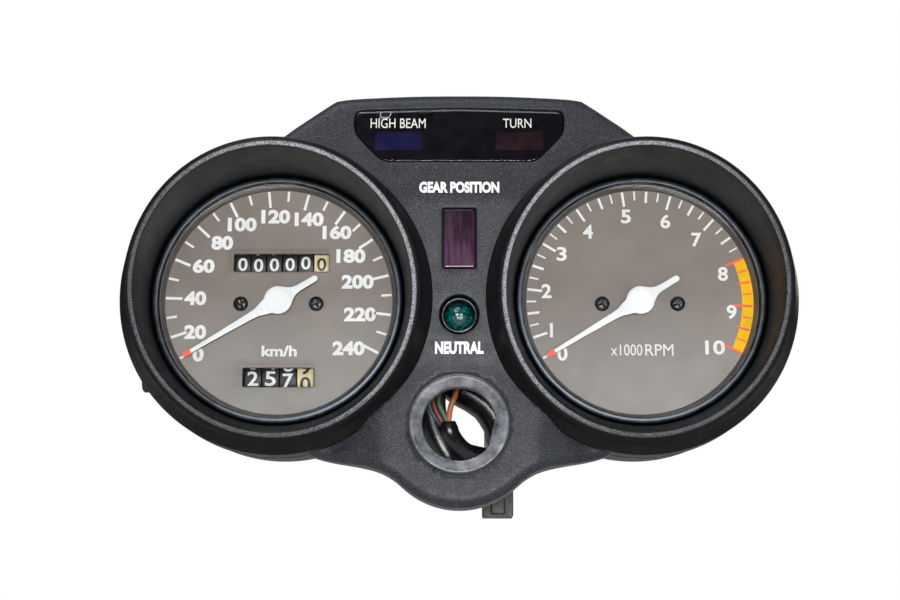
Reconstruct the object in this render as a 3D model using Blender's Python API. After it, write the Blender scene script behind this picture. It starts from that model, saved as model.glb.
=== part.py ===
"""Motorcycle instrument cluster: speedometer and tachometer in one hooded plastic front case.

Frame: +X to the rider's right, +Y away from the rider, +Z up, metres.
The origin is the centre of the mounting bracket's rear pad, at the height of the gauge axes.
Sizes below are millimetres. A "depth" is measured along +Y from the front faces of the bezels.
"""

import math

import bmesh
import bpy
from mathutils import Vector
from mathutils.geometry import delaunay_2d_cdt

MM = 0.001

# Driving dimensions
FACE_Y = -71.0              # the bezels' front plane, ahead of the bracket's rear pad
HUB_X = 67.0                # half the distance between the gauge axes
GAP = 0.4                   # clearance between fitted pieces

# Front case
LIP_R = 50.6                # crest of the hood's lip
LIP_OUTER_R = 53.6
HOOD_BASE_R = 57.6
HOOD_DEPTH = 18.0           # lip ahead of the bezels, at the height of the gauge axis
HOOD_SLOPE = 0.24           # extra depth of the visor for each millimetre of height
BORE_LIP_R = 50.0
BORE_R = 46.9
CASE_REAR = 15.0
WALL = 2.7
EDGE_ROUND = 4.0
CREASES = ((79.0, 2.0), (37.0, -4.0), (-26.0, -2.0), (-77.0, -6.0))   # (height, depth)
FLANGE_DEPTH = 3.3          # rear of the flange between a bezel and its hood
SKIRT_INNER_R = 54.8
BOSS_Z = -46.4              # ignition-switch boss
BOSS_R = 30.5
SWITCH_HOLE_R = 13.5
SWITCH_FLAT = 12.2
SWITCH_FLAT_ANGLE = -14.0
POST_X, POST_Z, POST_R = 49.0, 62.5, 4.0

# Warning lamps, gear window, neutral lamp
WINDOW = ((-39.5, 62.5), (-28.9, 51.0), (28.9, 51.0), (39.5, 62.5), (39.5, 72.2), (0.0, 73.3),
          (-39.5, 72.2))
FILTER_SIZE = (18.0, 7.6)
HIGH_BEAM_X, TURN_X, LAMP_Z = -22.8, 22.6, 60.4
GEAR_WINDOW = (6.3, 10.5, 33.2)     # half width, bottom, top
NEUTRAL_Z = -6.4
NEUTRAL_HOLE_R = 7.3

# Gauges
BEZEL_R = 46.4
APERTURE_R = 43.8
CAN_R = 45.3
CAN_WALL = 1.3
CAN_FRONT, CAN_REAR = 5.4, 46.0
GLASS = (1.1, 2.3)
DIAL_FRONT, DIAL_REAR = 6.4, 7.2
DIAL_R = 42.2
DIAL_SCREW_X, DIAL_SCREW_Z = 14.0, -1.0
NEEDLE_LENGTH, NEEDLE_TAIL, NEEDLE_HUB_R = 40.0, 16.8, 5.2
NEEDLE_ZERO = 211.0         # direction of the zero mark, anticlockwise from +X
FRAME_DEPTH = 30.5
BOSS_END = 86.0             # rear end of the cable sockets
COVER_R, COVER_WALL, COVER_REAR = 57.0, 2.0, 60.0
STUD_X, STUD_Z, STUD_R = 22.0, 19.0, 2.5

# Counters
DRUM_R, DRUM_DEPTH, DRUM_BORE_R, AXLE_R = 10.0, 19.8, 1.6, 1.2
ODOMETER_Z, ODOMETER_X, ODOMETER_PITCH = 14.7, 0.7, 5.9
ODOMETER_WINDOW = (17.7, 3.3)
TRIP_Z, TRIP_X, TRIP_PITCH = -28.4, 0.3, 6.5
TRIP_WINDOW = (13.2, 3.8)
KNOB_R = 4.0

# Mounting bracket
PLATE_FRONT, PLATE_REAR = 68.0, 71.0
PAD_HOLE_X, PAD_HOLE_R = 20.0, 4.3

BLACK_PLASTIC = ((0.012, 0.012, 0.013), 0.48, 0.0)
SMOKED = ((0.02, 0.02, 0.025), 0.08, 0.0)
BLUE_FILTER = ((0.03, 0.04, 0.25), 0.3, 0.0)
RED_FILTER = ((0.12, 0.03, 0.03), 0.3, 0.0)
PALE_PLASTIC = ((0.55, 0.55, 0.52), 0.5, 0.0)
PURPLE_LENS = ((0.05, 0.012, 0.045), 0.1, 0.0)
TEAL_LENS = ((0.0, 0.10, 0.08), 0.15, 0.0)
RUBBER = ((0.02, 0.02, 0.02), 0.85, 0.0)
ZINC = ((0.60, 0.58, 0.52), 0.38, 1.0)
BEZEL_METAL = ((0.07, 0.08, 0.09), 0.3, 0.8)
CLEAR_GLASS = ((0.95, 0.97, 0.96), 0.02, 0.0)
TAUPE = ((0.13, 0.105, 0.095), 0.6, 0.0)
SCREW_STEEL = ((0.10, 0.10, 0.10), 0.4, 0.8)
WHITE_PAINT = ((0.85, 0.85, 0.83), 0.5, 0.0)
CREAM = ((0.75, 0.62, 0.38), 0.5, 0.0)
BROWN_COVER = ((0.10, 0.07, 0.055), 0.75, 0.0)
ORANGE_WIRE = ((0.75, 0.22, 0.05), 0.45, 0.0)
STEEL = ((0.55, 0.55, 0.55), 0.35, 1.0)
LIGHT_ALLOY = ((0.65, 0.66, 0.68), 0.4, 1.0)
CONNECTOR_PLASTIC = ((0.03, 0.03, 0.03), 0.5, 0.0)


# ---------------------------------------------------------------- modelling tools

def add_piece(name, points, faces, look, at=(0.0, 0.0, 0.0)):
    """A closed mesh object; points in millimetres around the location at."""
    bm = bmesh.new()
    vertices = [bm.verts.new(Vector(point) * MM) for point in points]
    for face in faces:
        bm.faces.new([vertices[i] for i in face])
    bmesh.ops.triangulate(bm, faces=bm.faces)
    bmesh.ops.recalc_face_normals(bm, faces=bm.faces)
    mesh = bpy.data.meshes.new(name)
    bm.to_mesh(mesh)
    bm.free()
    mesh.shade_smooth()
    mesh.set_sharp_from_angle(angle=math.radians(35))
    piece = bpy.data.objects.new(name, mesh)
    piece.location = Vector(at) * MM
    bpy.context.scene.collection.objects.link(piece)
    if look:
        mesh.materials.append(make_material(name, look))
    return piece


def make_material(name, look):
    colour, roughness, metallic = look
    material = bpy.data.materials.new(name)
    material.use_nodes = True
    shader = material.node_tree.nodes["Principled BSDF"]
    shader.inputs["Base Color"].default_value = (*colour, 1.0)
    shader.inputs["Roughness"].default_value = roughness
    shader.inputs["Metallic"].default_value = metallic
    return material


def turned(name, profile, look, at=(0.0, 0.0, 0.0), steps=36, axis="Y", hollow=False):
    """A turned piece. The profile is (radius, position along the axis); hollow ones close on themselves."""
    points, rings = [], []
    for radius, along in profile:
        count = steps if radius > 0.001 else 1
        rings.append([len(points) + i for i in range(count)])
        for i in range(count):
            angle = 2.0 * math.pi * i / steps
            across, up = radius * math.cos(angle), radius * math.sin(angle)
            points.append((across, along, up) if axis == "Y" else (along, across, up))
    faces = []
    pairs = list(zip(rings, rings[1:])) + ([(rings[-1], rings[0])] if hollow else [])
    for first, second in pairs:
        for i in range(steps):
            j = (i + 1) % steps
            corners = (first[i % len(first)], first[j % len(first)], second[j % len(second)],
                       second[i % len(second)])
            faces.append(list(dict.fromkeys(corners)))
    return add_piece(name, points, faces, look, at)


def fill_outline(outline, lines=(), spots=()):
    """Triangles over an outline, along the given inner lines and spots, and the points they add to it."""
    count = len(outline)
    edges = [(i, (i + 1) % count) for i in range(count)] + list(lines)
    flat = [Vector(point) for point in (*outline, *spots)]
    points, _, triangles, origins, _, _ = delaunay_2d_cdt(flat, edges, [], 1, 1e-5)
    places, added = [], []
    for point, sources in zip(points, origins):
        known = [source for source in sources if source < count]
        places.append(known[0] if known else count + len(added))
        if not known:
            added.append(tuple(point))
    return [[places[i] for i in triangle] for triangle in triangles], added


def prism(name, outline, front, rear, look, at=(0.0, 0.0, 0.0)):
    """An outline of (x, z) extruded along Y; front and rear are depths or functions of (x, z)."""
    def depth(limit, x, z):
        return limit(x, z) if callable(limit) else limit
    count = len(outline)
    points = [(x, depth(front, x, z), z) for x, z in outline]
    points += [(x, depth(rear, x, z), z) for x, z in outline]
    caps = fill_outline(outline)[0]
    faces = caps + [[count + i for i in triangle] for triangle in caps]
    faces += [[i, (i + 1) % count, count + (i + 1) % count, count + i] for i in range(count)]
    return add_piece(name, points, faces, look, at)


def block(name, low, high, look=None, at=(0.0, 0.0, 0.0)):
    outline = ((low[0], low[2]), (high[0], low[2]), (high[0], high[2]), (low[0], high[2]))
    return prism(name, outline, low[1], high[1], look, at)


def combine(target, tools, operation):
    """Unite or cut the target with each tool, and remove the tools."""
    for tool in tools:
        modifier = target.modifiers.new("combine", "BOOLEAN")
        modifier.operation = operation
        modifier.solver = "EXACT"
        modifier.object = tool
        evaluated = target.evaluated_get(bpy.context.evaluated_depsgraph_get())
        mesh = bpy.data.meshes.new_from_object(evaluated)
        target.modifiers.remove(modifier)
        target.data = mesh
        bpy.data.objects.remove(tool)
    target.data.shade_smooth()
    target.data.set_sharp_from_angle(angle=math.radians(35))
    return target


def unite(target, *tools):
    return combine(target, tools, "UNION")


def cut(target, *tools):
    return combine(target, tools, "DIFFERENCE")


def arc(centre, radius, start, end, count):
    """Points (x, z) on an arc, angles in degrees anticlockwise from +X."""
    angles = [math.radians(start + (end - start) * i / (count - 1)) for i in range(count)]
    return [(centre[0] + radius * math.cos(a), centre[1] + radius * math.sin(a)) for a in angles]


def inset(outline, distance):
    """The anticlockwise outline moved inwards, corner by corner."""
    moved = []
    for i, here in enumerate(outline):
        point = Vector(here)
        before = (point - Vector(outline[i - 1])).normalized()
        after = (Vector(outline[(i + 1) % len(outline)]) - point).normalized()
        inward = Vector((-before.y - after.y, before.x + after.x)).normalized()
        lean = max(0.4, inward.dot(Vector((-after.y, after.x))))
        moved.append(tuple(point + inward * distance / lean))
    return moved


def smooth_route(points, spacing):
    """Catmull-Rom samples through the points, about the spacing apart."""
    route = [Vector(p) for p in points]
    route = [2 * route[0] - route[1], *route, 2 * route[-1] - route[-2]]
    samples = []
    for a, b, c, d in zip(route, route[1:], route[2:], route[3:]):
        steps = max(2, round((c - b).length / spacing))
        for i in range(steps):
            t = i / steps
            samples.append(0.5 * (2 * b + (c - a) * t + (2 * a - 5 * b + 4 * c - d) * t * t
                                  + (3 * b - a - 3 * c + d) * t ** 3))
    samples.append(route[-2])
    return samples


def tube(name, route, radius, look, at=(0.0, 0.0, 0.0)):
    curve = bpy.data.curves.new(name, "CURVE")
    curve.dimensions = "3D"
    curve.bevel_depth = radius * MM
    curve.bevel_resolution = 2
    curve.use_fill_caps = True
    samples = smooth_route(route, 2.6 * 2 * radius)
    spline = curve.splines.new("POLY")
    spline.points.add(len(samples) - 1)
    for point, sample in zip(spline.points, samples):
        point.co = (*(sample * MM), 1.0)
    curve.materials.append(make_material(name, look))
    piece = bpy.data.objects.new(name, curve)
    piece.location = Vector(at) * MM
    bpy.context.scene.collection.objects.link(piece)
    return piece


# ---------------------------------------------------------------- front case

def fade(value):
    value = min(1.0, max(0.0, value))
    return value * value * (3.0 - 2.0 * value)


def panel_face(x, z):
    """Depth of the panel's front surface: three creased planes, falling back below the hoods."""
    heights = [crease[0] for crease in CREASES]
    z_held = min(heights[0], max(heights[-1], z))
    for (top, top_depth), (bottom, bottom_depth) in zip(CREASES, CREASES[1:]):
        if z_held >= bottom:
            depth = top_depth + (bottom_depth - top_depth) * (top - z_held) / (top - bottom)
            break
    return depth + 9.0 * fade((abs(x) - 26.0) / 24.0) * fade((-z - 30.0) / 22.0)


def on_panel(offset):
    return lambda x, z: panel_face(x, z) + offset


def panel_outline():
    """The panel between the hoods, anticlockwise from the boss; its sides lie inside the hoods."""
    right = arc((0.0, BOSS_Z), BOSS_R, -90.0, -48.0, 6)
    right += [(24.6, -65.4), (30.0, -62.6), (38.0, -60.8), (48.0, -59.3), (57.0, -56.5), (60.0, -48.0)]
    right += [(60.0, CREASES[2][0]), (60.0, CREASES[1][0]), (60.0, 44.0), (68.0, 46.0), (77.0, 52.5)]
    right += [(64.0, 63.8), (56.0, 69.6), (48.5, 75.0), (45.0, 77.2), (22.0, 78.5)]
    left = [(-x, z) for x, z in reversed(right[1:])]
    return right + [(0.0, 78.8)] + left


def inside(point, outline):
    hits = 0
    for (x0, z0), (x1, z1) in zip(outline, outline[1:] + outline[:1]):
        if (z0 > point[1]) != (z1 > point[1]) and point[0] < x0 + (point[1] - z0) * (x1 - x0) / (z1 - z0):
            hits += 1
    return hits % 2 == 1


def panel_solid(name, outline, edge, rear):
    """The panel as a solid: a creased front face, an edge given as (inset, depth) rings, and a flat rear."""
    rings = [inset(outline, distance) if distance else list(outline) for distance, _ in edge]
    count = len(outline)
    points = []
    for ring, (_, offset) in zip(rings, edge):
        points += [(x, panel_face(x, z) + offset, z) for x, z in ring]
    points += [(x, rear, z) for x, z in outline]
    faces = []
    for level in range(len(edge)):
        first = level * count
        faces += [[first + i, first + (i + 1) % count, first + count + (i + 1) % count, first + count + i]
                  for i in range(count)]
    last = len(edge) * count
    faces += [[last + i for i in triangle] for triangle in fill_outline(outline)[0]]
    # The front face: creases and a few inner points that follow the surface where it falls back
    lines = [tuple(i for i, (_, z) in enumerate(outline) if z == height) for height, _ in CREASES[1:3]]
    safe = inset(rings[0], 3.0)
    grid = [(x, z) for x in range(-54, 55, 9) for z in range(-72, -28, 9)]
    triangles, added = fill_outline(rings[0], lines, [spot for spot in grid if inside(spot, safe)])
    places = list(range(count)) + [len(points) + i for i in range(len(added))]
    points += [(x, panel_face(x, z) + edge[0][1], z) for x, z in added]
    faces += [[places[i] for i in triangle] for triangle in triangles]
    return add_piece(name, points, faces, None)


def make_hood(hub):
    """A slanted visor and its skirt as one ring. Rings are (radius, share of visor depth, depth)."""
    rings = ((BORE_LIP_R, 1.0, 0.35), (LIP_R, 1.0, 0.0), (52.6, 1.0, 1.0), (LIP_OUTER_R, 1.0, 3.4),
             (HOOD_BASE_R, 0.0, 0.0), (HOOD_BASE_R, 0.0, CASE_REAR), (SKIRT_INNER_R, 0.0, CASE_REAR),
             (SKIRT_INNER_R, 0.0, FLANGE_DEPTH), (BORE_R, 0.0, FLANGE_DEPTH), (BORE_R, 0.0, 0.0))
    steps = 48
    points, faces = [], []
    for radius, share, depth in rings:
        for i in range(steps):
            angle = 2.0 * math.pi * i / steps
            x, z = radius * math.cos(angle), radius * math.sin(angle)
            points.append((hub + x, depth - share * (HOOD_DEPTH + HOOD_SLOPE * z), z))
    for level in range(len(rings)):
        first, second = level * steps, (level + 1) % len(rings) * steps
        faces += [[first + i, first + (i + 1) % steps, second + (i + 1) % steps, second + i]
                  for i in range(steps)]
    return add_piece("hood", points, faces, None)


def hood_seat(hub):
    """The opening in the panel that a hood fills, wider behind the hood's flange."""
    profile = ((0.0, -40.0), (52.0, -40.0), (52.0, 2.0), (55.6, 2.0), (55.6, 40.0), (0.0, 40.0))
    return turned("hood_seat", profile, None, at=(hub, 0.0, 0.0), steps=44)


def switch_hole():
    """The countersunk hole for the ignition switch, square to the boss's face."""
    profile = ((0.0, -3.0), (19.4, -3.0), (17.6, 0.0), (14.3, 1.1), (SWITCH_HOLE_R, 1.1),
               (SWITCH_HOLE_R, 12.0), (0.0, 12.0))
    hole = turned("switch_hole", profile, None, at=(0.0, panel_face(0.0, BOSS_Z), BOSS_Z), steps=40)
    slope = (CREASES[2][1] - CREASES[3][1]) / (CREASES[2][0] - CREASES[3][0])
    hole.rotation_euler.x = -math.atan(slope)
    return hole


def switch_flat():
    """The chord across the hole that keys the switch."""
    half = math.degrees(math.acos(SWITCH_FLAT / SWITCH_HOLE_R))
    outline = arc((0.0, BOSS_Z), SWITCH_HOLE_R + 0.4, SWITCH_FLAT_ANGLE - half, SWITCH_FLAT_ANGLE + half, 6)
    return prism("switch_flat", outline, on_panel(1.4), on_panel(WALL - 0.2), None)


def make_front_case():
    outline = panel_outline()
    round_edge = ((4.0, 0.0), (2.2, 0.45), (0.8, 1.6), (0.0, EDGE_ROUND))
    case = panel_solid("front_case", outline, round_edge, CASE_REAR - 0.5)
    half, bottom, top = GEAR_WINDOW
    neutral = ((0.0, -20.0), (NEUTRAL_HOLE_R, -20.0), (NEUTRAL_HOLE_R, 8.0), (0.0, 8.0))
    cut(case, panel_solid("cavity", inset(outline, WALL), ((0.0, WALL),), CASE_REAR + 10.0),
        prism("window", WINDOW, -20.0, 12.0, None),
        block("gear_window", (-half, -20.0, bottom), (half, 8.0, top)),
        turned("neutral_hole", neutral, None, at=(0.0, 0.0, NEUTRAL_Z), steps=32),
        switch_hole(), hood_seat(-HUB_X), hood_seat(HUB_X))
    unite(case, make_hood(-HUB_X), make_hood(HUB_X), switch_flat())
    for side in (-1.0, 1.0):
        post = ((0.0, 1.6), (POST_R, 1.6), (POST_R, 25.6), (1.7, 25.6), (1.7, 14.0), (0.0, 14.0))
        unite(case, turned("post", post, None, at=(side * POST_X, 0.0, POST_Z), steps=20))
    case.data.materials.clear()
    case.data.materials.append(make_material("front_case", BLACK_PLASTIC))
    case.location.y = FACE_Y * MM
    return case


# ---------------------------------------------------------------- lamps and windows

def make_lamps():
    face = (0.0, FACE_Y, 0.0)
    prism("warning_lens", inset(WINDOW, GAP), on_panel(0.5), on_panel(2.6), SMOKED, face)
    wide, tall = FILTER_SIZE
    for name, x, look in (("high_beam_filter", HIGH_BEAM_X, BLUE_FILTER),
                          ("turn_filter", TURN_X, RED_FILTER)):
        corners = [(x + i * wide / 2, LAMP_Z + j * tall / 2)
                   for i, j in ((-1, -1), (1, -1), (1, 1), (-1, 1))]
        prism(name, corners, on_panel(3.0), on_panel(4.2), look, face)
    housing = block("lamp_housing", (-41.0, 7.2, 53.5), (41.0, 24.0, 72.5), PALE_PLASTIC, face)
    chambers = [block("chamber", (low, 0.0, 55.0), (high, 22.5, 71.0), None, face)
                for low, high in ((-39.5, -11.0), (-9.5, 9.5), (11.0, 39.5))]
    hole = ((0.0, 20.0), (5.9, 20.0), (5.9, 30.0), (0.0, 30.0))
    holes = [turned("hole", hole, None, at=(x, FACE_Y, LAMP_Z), steps=14) for x in (HIGH_BEAM_X, TURN_X)]
    cut(housing, *chambers, *holes)
    holder = ((0.0, 12.0), (3.6, 14.0), (3.6, 20.0), (5.5, 20.0), (5.5, 24.4), (7.2, 24.4), (7.2, 26.0),
              (5.0, 26.0), (4.6, 35.0), (0.0, 35.0))
    for name, x in (("bulb_holder_high_beam", HIGH_BEAM_X), ("bulb_holder_turn", TURN_X)):
        turned(name, holder, RUBBER, at=(x, FACE_Y, LAMP_Z), steps=14)


def make_gear_display():
    half, bottom, top = GEAR_WINDOW
    outline = ((GAP - half, bottom + GAP), (half - GAP, bottom + GAP), (half - GAP, top - GAP),
               (GAP - half, top - GAP))
    prism("gear_window_lens", outline, on_panel(0.5), on_panel(2.6), PURPLE_LENS, (0.0, FACE_Y, 0.0))
    module = block("gear_display_module", (-8.0, 0.6, 6.0), (8.0, 9.6, 38.0), BLACK_PLASTIC,
                   (0.0, FACE_Y, 0.0))
    unite(module, block("board", (-8.8, 9.2, 3.6), (8.8, 11.0, 41.0), None, (0.0, FACE_Y, 0.0)))


def make_neutral_lamp():
    at = (0.0, FACE_Y, NEUTRAL_Z)
    ring = ((5.5, -0.5), (6.2, -1.1), (6.9, -0.5), (6.9, 6.0), (5.5, 6.0))
    turned("neutral_lamp_bezel", ring, STEEL, at=at, steps=24, hollow=True)
    lens = ((0.0, -0.9), (3.0, -0.4), (5.1, 1.4), (5.1, 8.4), (0.0, 8.4))
    turned("neutral_lens", lens, TEAL_LENS, at=at, steps=24)
    holder = ((0.0, 8.9), (4.6, 8.9), (4.6, 11.0), (6.6, 11.0), (6.6, 12.6), (5.0, 12.6), (4.6, 26.0),
              (0.0, 26.0))
    turned("bulb_holder_neutral", holder, RUBBER, at=at, steps=14)


# ---------------------------------------------------------------- gauges

def needle_outline():
    """The needle along +X: a tapering arm, filleted into the hub disc, and a round-ended tail."""
    arm = [(NEEDLE_LENGTH, -0.6), (NEEDLE_LENGTH, 0.6), (36.0, 1.0), (12.0, 2.1), (8.0, 2.7)]
    tail = arc((1.2 - NEEDLE_TAIL, 0.0), 1.2, 90.0, 270.0, 7)
    upper = arm + [(5.0, 3.8), (-4.0, 3.6), (-6.5, 1.9), (-9.0, 1.3)]
    lower = [(x, -z) for x, z in reversed(upper[2:])]
    return upper + tail + lower


def make_needle(name, hub):
    turn = math.radians(NEEDLE_ZERO)
    outline = [(x * math.cos(turn) - z * math.sin(turn), x * math.sin(turn) + z * math.cos(turn))
               for x, z in needle_outline()]
    needle = prism(name, outline, 3.7, 4.5, WHITE_PAINT, (hub, FACE_Y, 0.0))
    disc = ((0.0, 2.9), (NEEDLE_HUB_R - 0.5, 2.9), (NEEDLE_HUB_R, 3.4), (NEEDLE_HUB_R, 5.3), (0.0, 5.3))
    unite(needle, turned("hub", disc, None, at=(hub, FACE_Y, 0.0), steps=20))
    socket = ((0.0, 4.0), (1.3, 4.0), (1.3, 6.3), (0.0, 6.3))
    return cut(needle, turned("socket", socket, None, at=(hub, FACE_Y, 0.0), steps=12))


def make_dial(name, hub, windows):
    profile = ((1.5, DIAL_FRONT), (DIAL_R, DIAL_FRONT), (43.2, 3.0), (43.7, 3.0), (43.7, DIAL_REAR),
               (1.5, DIAL_REAR))
    dial = turned(name, profile, TAUPE, at=(hub, FACE_Y, 0.0), steps=44, hollow=True)
    screw_hole = ((0.0, 4.0), (1.6, 4.0), (1.6, 14.0), (0.0, 14.0))
    for side in (-1.0, 1.0):
        cut(dial, turned("hole", screw_hole, None, at=(hub + side * DIAL_SCREW_X, FACE_Y, DIAL_SCREW_Z),
                         steps=12))
    for x, z, half_x, half_z in windows:
        cut(dial, block("window", (x - half_x, 5.0, z - half_z), (x + half_x, 9.0, z + half_z), None,
                        (hub, FACE_Y, 0.0)))
    return dial


def make_can(name, hub):
    inner = CAN_R - CAN_WALL
    profile = ((CAN_R, CAN_FRONT), (CAN_R, CAN_REAR), (7.0, CAN_REAR), (7.0, BOSS_END), (2.4, BOSS_END),
               (2.4, CAN_REAR - 1.2), (inner, CAN_REAR - 1.2), (inner, CAN_FRONT))
    can = turned(name, profile, LIGHT_ALLOY, at=(hub, FACE_Y, 0.0), hollow=True)
    stud = ((0.0, CAN_REAR - 0.6), (STUD_R, CAN_REAR - 0.6), (STUD_R, 80.0), (0.0, 80.0))
    for side in (-1.0, 1.0):
        unite(can, turned("stud", stud, None, at=(hub + side * STUD_X, FACE_Y, STUD_Z), steps=12))
    return can


def make_rear_cover(name, hub):
    inner = COVER_R - COVER_WALL
    front = CASE_REAR + GAP
    profile = ((COVER_R, front), (COVER_R, 44.0), (54.4, 53.0), (46.0, COVER_REAR), (10.0, COVER_REAR),
               (10.0, COVER_REAR - COVER_WALL), (45.4, COVER_REAR - COVER_WALL), (52.6, 52.0),
               (inner, 43.6),
               (inner, front))
    cover = turned(name, profile, BROWN_COVER, at=(hub, FACE_Y, 0.0), steps=40, hollow=True)
    hole = ((0.0, 50.0), (3.2, 50.0), (3.2, 66.0), (0.0, 66.0))
    for side in (-1.0, 1.0):
        cut(cover, turned("hole", hole, None, at=(hub + side * STUD_X, FACE_Y, STUD_Z), steps=12))
    return cover


def make_movement_frame(name, hub, counters):
    at = (hub, FACE_Y, 0.0)
    plate = ((1.5, FRAME_DEPTH), (43.5, FRAME_DEPTH), (43.5, FRAME_DEPTH + 1.5), (1.5, FRAME_DEPTH + 1.5))
    frame = turned(name, plate, ZINC, at=at, hollow=True)
    for side in (-1.0, 1.0):
        post = ((0.0, 13.8), (1.6, 13.8), (1.6, DIAL_REAR + GAP), (2.6, DIAL_REAR + GAP),
                (2.6, FRAME_DEPTH + 0.7), (0.0, FRAME_DEPTH + 0.7))
        unite(frame, turned("post", post, None, at=(hub + side * DIAL_SCREW_X, FACE_Y, DIAL_SCREW_Z),
                            steps=14))
    for z, low_x, high_x, with_axle in counters:
        for x in (low_x, high_x - 1.4):
            unite(frame, block("cheek", (x, 15.0, z - 4.0), (x + 1.4, FRAME_DEPTH + 0.8, z + 4.0), None,
                               at))
        if with_axle:
            rod = ((0.0, low_x + 0.7), (AXLE_R, low_x + 0.7), (AXLE_R, high_x - 0.7), (0.0, high_x - 0.7))
            unite(frame, turned("axle", rod, None, at=(hub, FACE_Y + DRUM_DEPTH, z), steps=12, axis="X"))
        else:
            way = ((0.0, low_x - 3.0), (AXLE_R + 0.5, low_x - 3.0), (AXLE_R + 0.5, high_x + 3.0),
                   (0.0, high_x + 3.0))
            cut(frame, turned("way", way, None, at=(hub, FACE_Y + DRUM_DEPTH, z), steps=12, axis="X"))
    return frame


def make_gauge(name, hub, windows, counters):
    at = (hub, FACE_Y, 0.0)
    bezel = ((APERTURE_R, 0.0), (BEZEL_R, 0.0), (BEZEL_R, 8.0), (BEZEL_R - 0.8, 8.0), (BEZEL_R - 0.8, 0.8),
             (APERTURE_R, 0.8))
    turned(f"{name}_bezel", bezel, BEZEL_METAL, at=at, steps=44, hollow=True)
    gasket = ((44.0, GLASS[1] + 0.3), (45.2, GLASS[1] + 0.3), (45.2, CAN_FRONT - 0.3),
              (44.0, CAN_FRONT - 0.3))
    turned(f"{name}_gasket", gasket, RUBBER, at=at, hollow=True)
    glass = ((0.0, GLASS[0]), (45.0, GLASS[0]), (45.0, GLASS[1]), (0.0, GLASS[1]))
    turned(f"{name}_glass", glass, CLEAR_GLASS, at=at, steps=44)
    make_dial(f"{name}_dial", hub, windows)
    for side, label in ((-1.0, "left"), (1.0, "right")):
        screw = ((0.0, 4.8), (1.8, 4.8), (2.7, 5.5), (2.7, DIAL_FRONT - 0.3), (1.2, DIAL_FRONT - 0.3),
                 (1.2, 13.3), (0.0, 13.3))
        turned(f"{name}_dial_screw_{label}", screw, SCREW_STEEL,
               at=(hub + side * DIAL_SCREW_X, FACE_Y, DIAL_SCREW_Z), steps=14)
    make_needle(f"{name}_needle", hub)
    spindle = ((0.0, 4.3), (1.0, 4.3), (1.0, 33.0), (12.0, 33.0), (12.0, 42.0), (11.2, 42.0),
               (11.2, 34.0), (0.0, 34.0))
    turned(f"{name}_spindle", spindle, LIGHT_ALLOY, at=at, steps=16)
    make_movement_frame(f"{name}_movement_frame", hub, counters)
    shaft = ((0.0, 35.4), (9.6, 35.4), (9.6, 41.4), (2.0, 41.4), (2.0, BOSS_END - 2.0),
             (0.0, BOSS_END - 2.0))
    turned(f"{name}_drive_shaft", shaft, STEEL, at=at, steps=16)
    make_can(f"{name}_can", hub)
    make_rear_cover(f"{name}_rear_cover", hub)


def make_counter(prefix, hub, z, centre, pitch, count):
    """Number drums side by side on one axle; the last one, the tenths, is cream."""
    width = pitch - GAP
    profile = ((DRUM_BORE_R, -width / 2), (DRUM_R, -width / 2), (DRUM_R, width / 2),
               (DRUM_BORE_R, width / 2))
    for i in range(count):
        x = hub + centre + (i - (count - 1) / 2) * pitch
        label = "tenths" if i == count - 1 else f"{10 ** (count - 2 - i)}"
        look = CREAM if i == count - 1 else BLACK_PLASTIC
        turned(f"{prefix}_drum_{label}", profile, look, at=(x, FACE_Y + DRUM_DEPTH, z), steps=16, axis="X",
               hollow=True)


def make_counters():
    make_counter("odometer", -HUB_X, ODOMETER_Z, ODOMETER_X, ODOMETER_PITCH, 6)
    make_counter("trip", -HUB_X, TRIP_Z, TRIP_X, TRIP_PITCH, 4)
    at = (-HUB_X, FACE_Y + DRUM_DEPTH, TRIP_Z)
    knob = ((0.0, -51.8), (KNOB_R - 0.6, -51.8), (KNOB_R, -51.2), (KNOB_R, -45.0), (AXLE_R, -44.4),
            (AXLE_R, 17.6), (0.0, 17.6))
    turned("trip_reset_knob", knob, BLACK_PLASTIC, at=at, steps=16, axis="X")
    way = ((0.0, -60.0), (2.0, -60.0), (2.0, -20.0), (0.0, -20.0))
    cut(bpy.data.objects["speedometer_can"], turned("way", way, None, at=at, steps=16, axis="X"))
    pocket = ((0.0, -60.0), (KNOB_R + 0.8, -60.0), (KNOB_R + 0.8, -38.0), (0.0, -38.0))
    cut(bpy.data.objects["speedometer_rear_cover"], turned("pocket", pocket, None, at=at, steps=20,
                                                           axis="X"))


# ---------------------------------------------------------------- bracket, fasteners, harness

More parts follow.
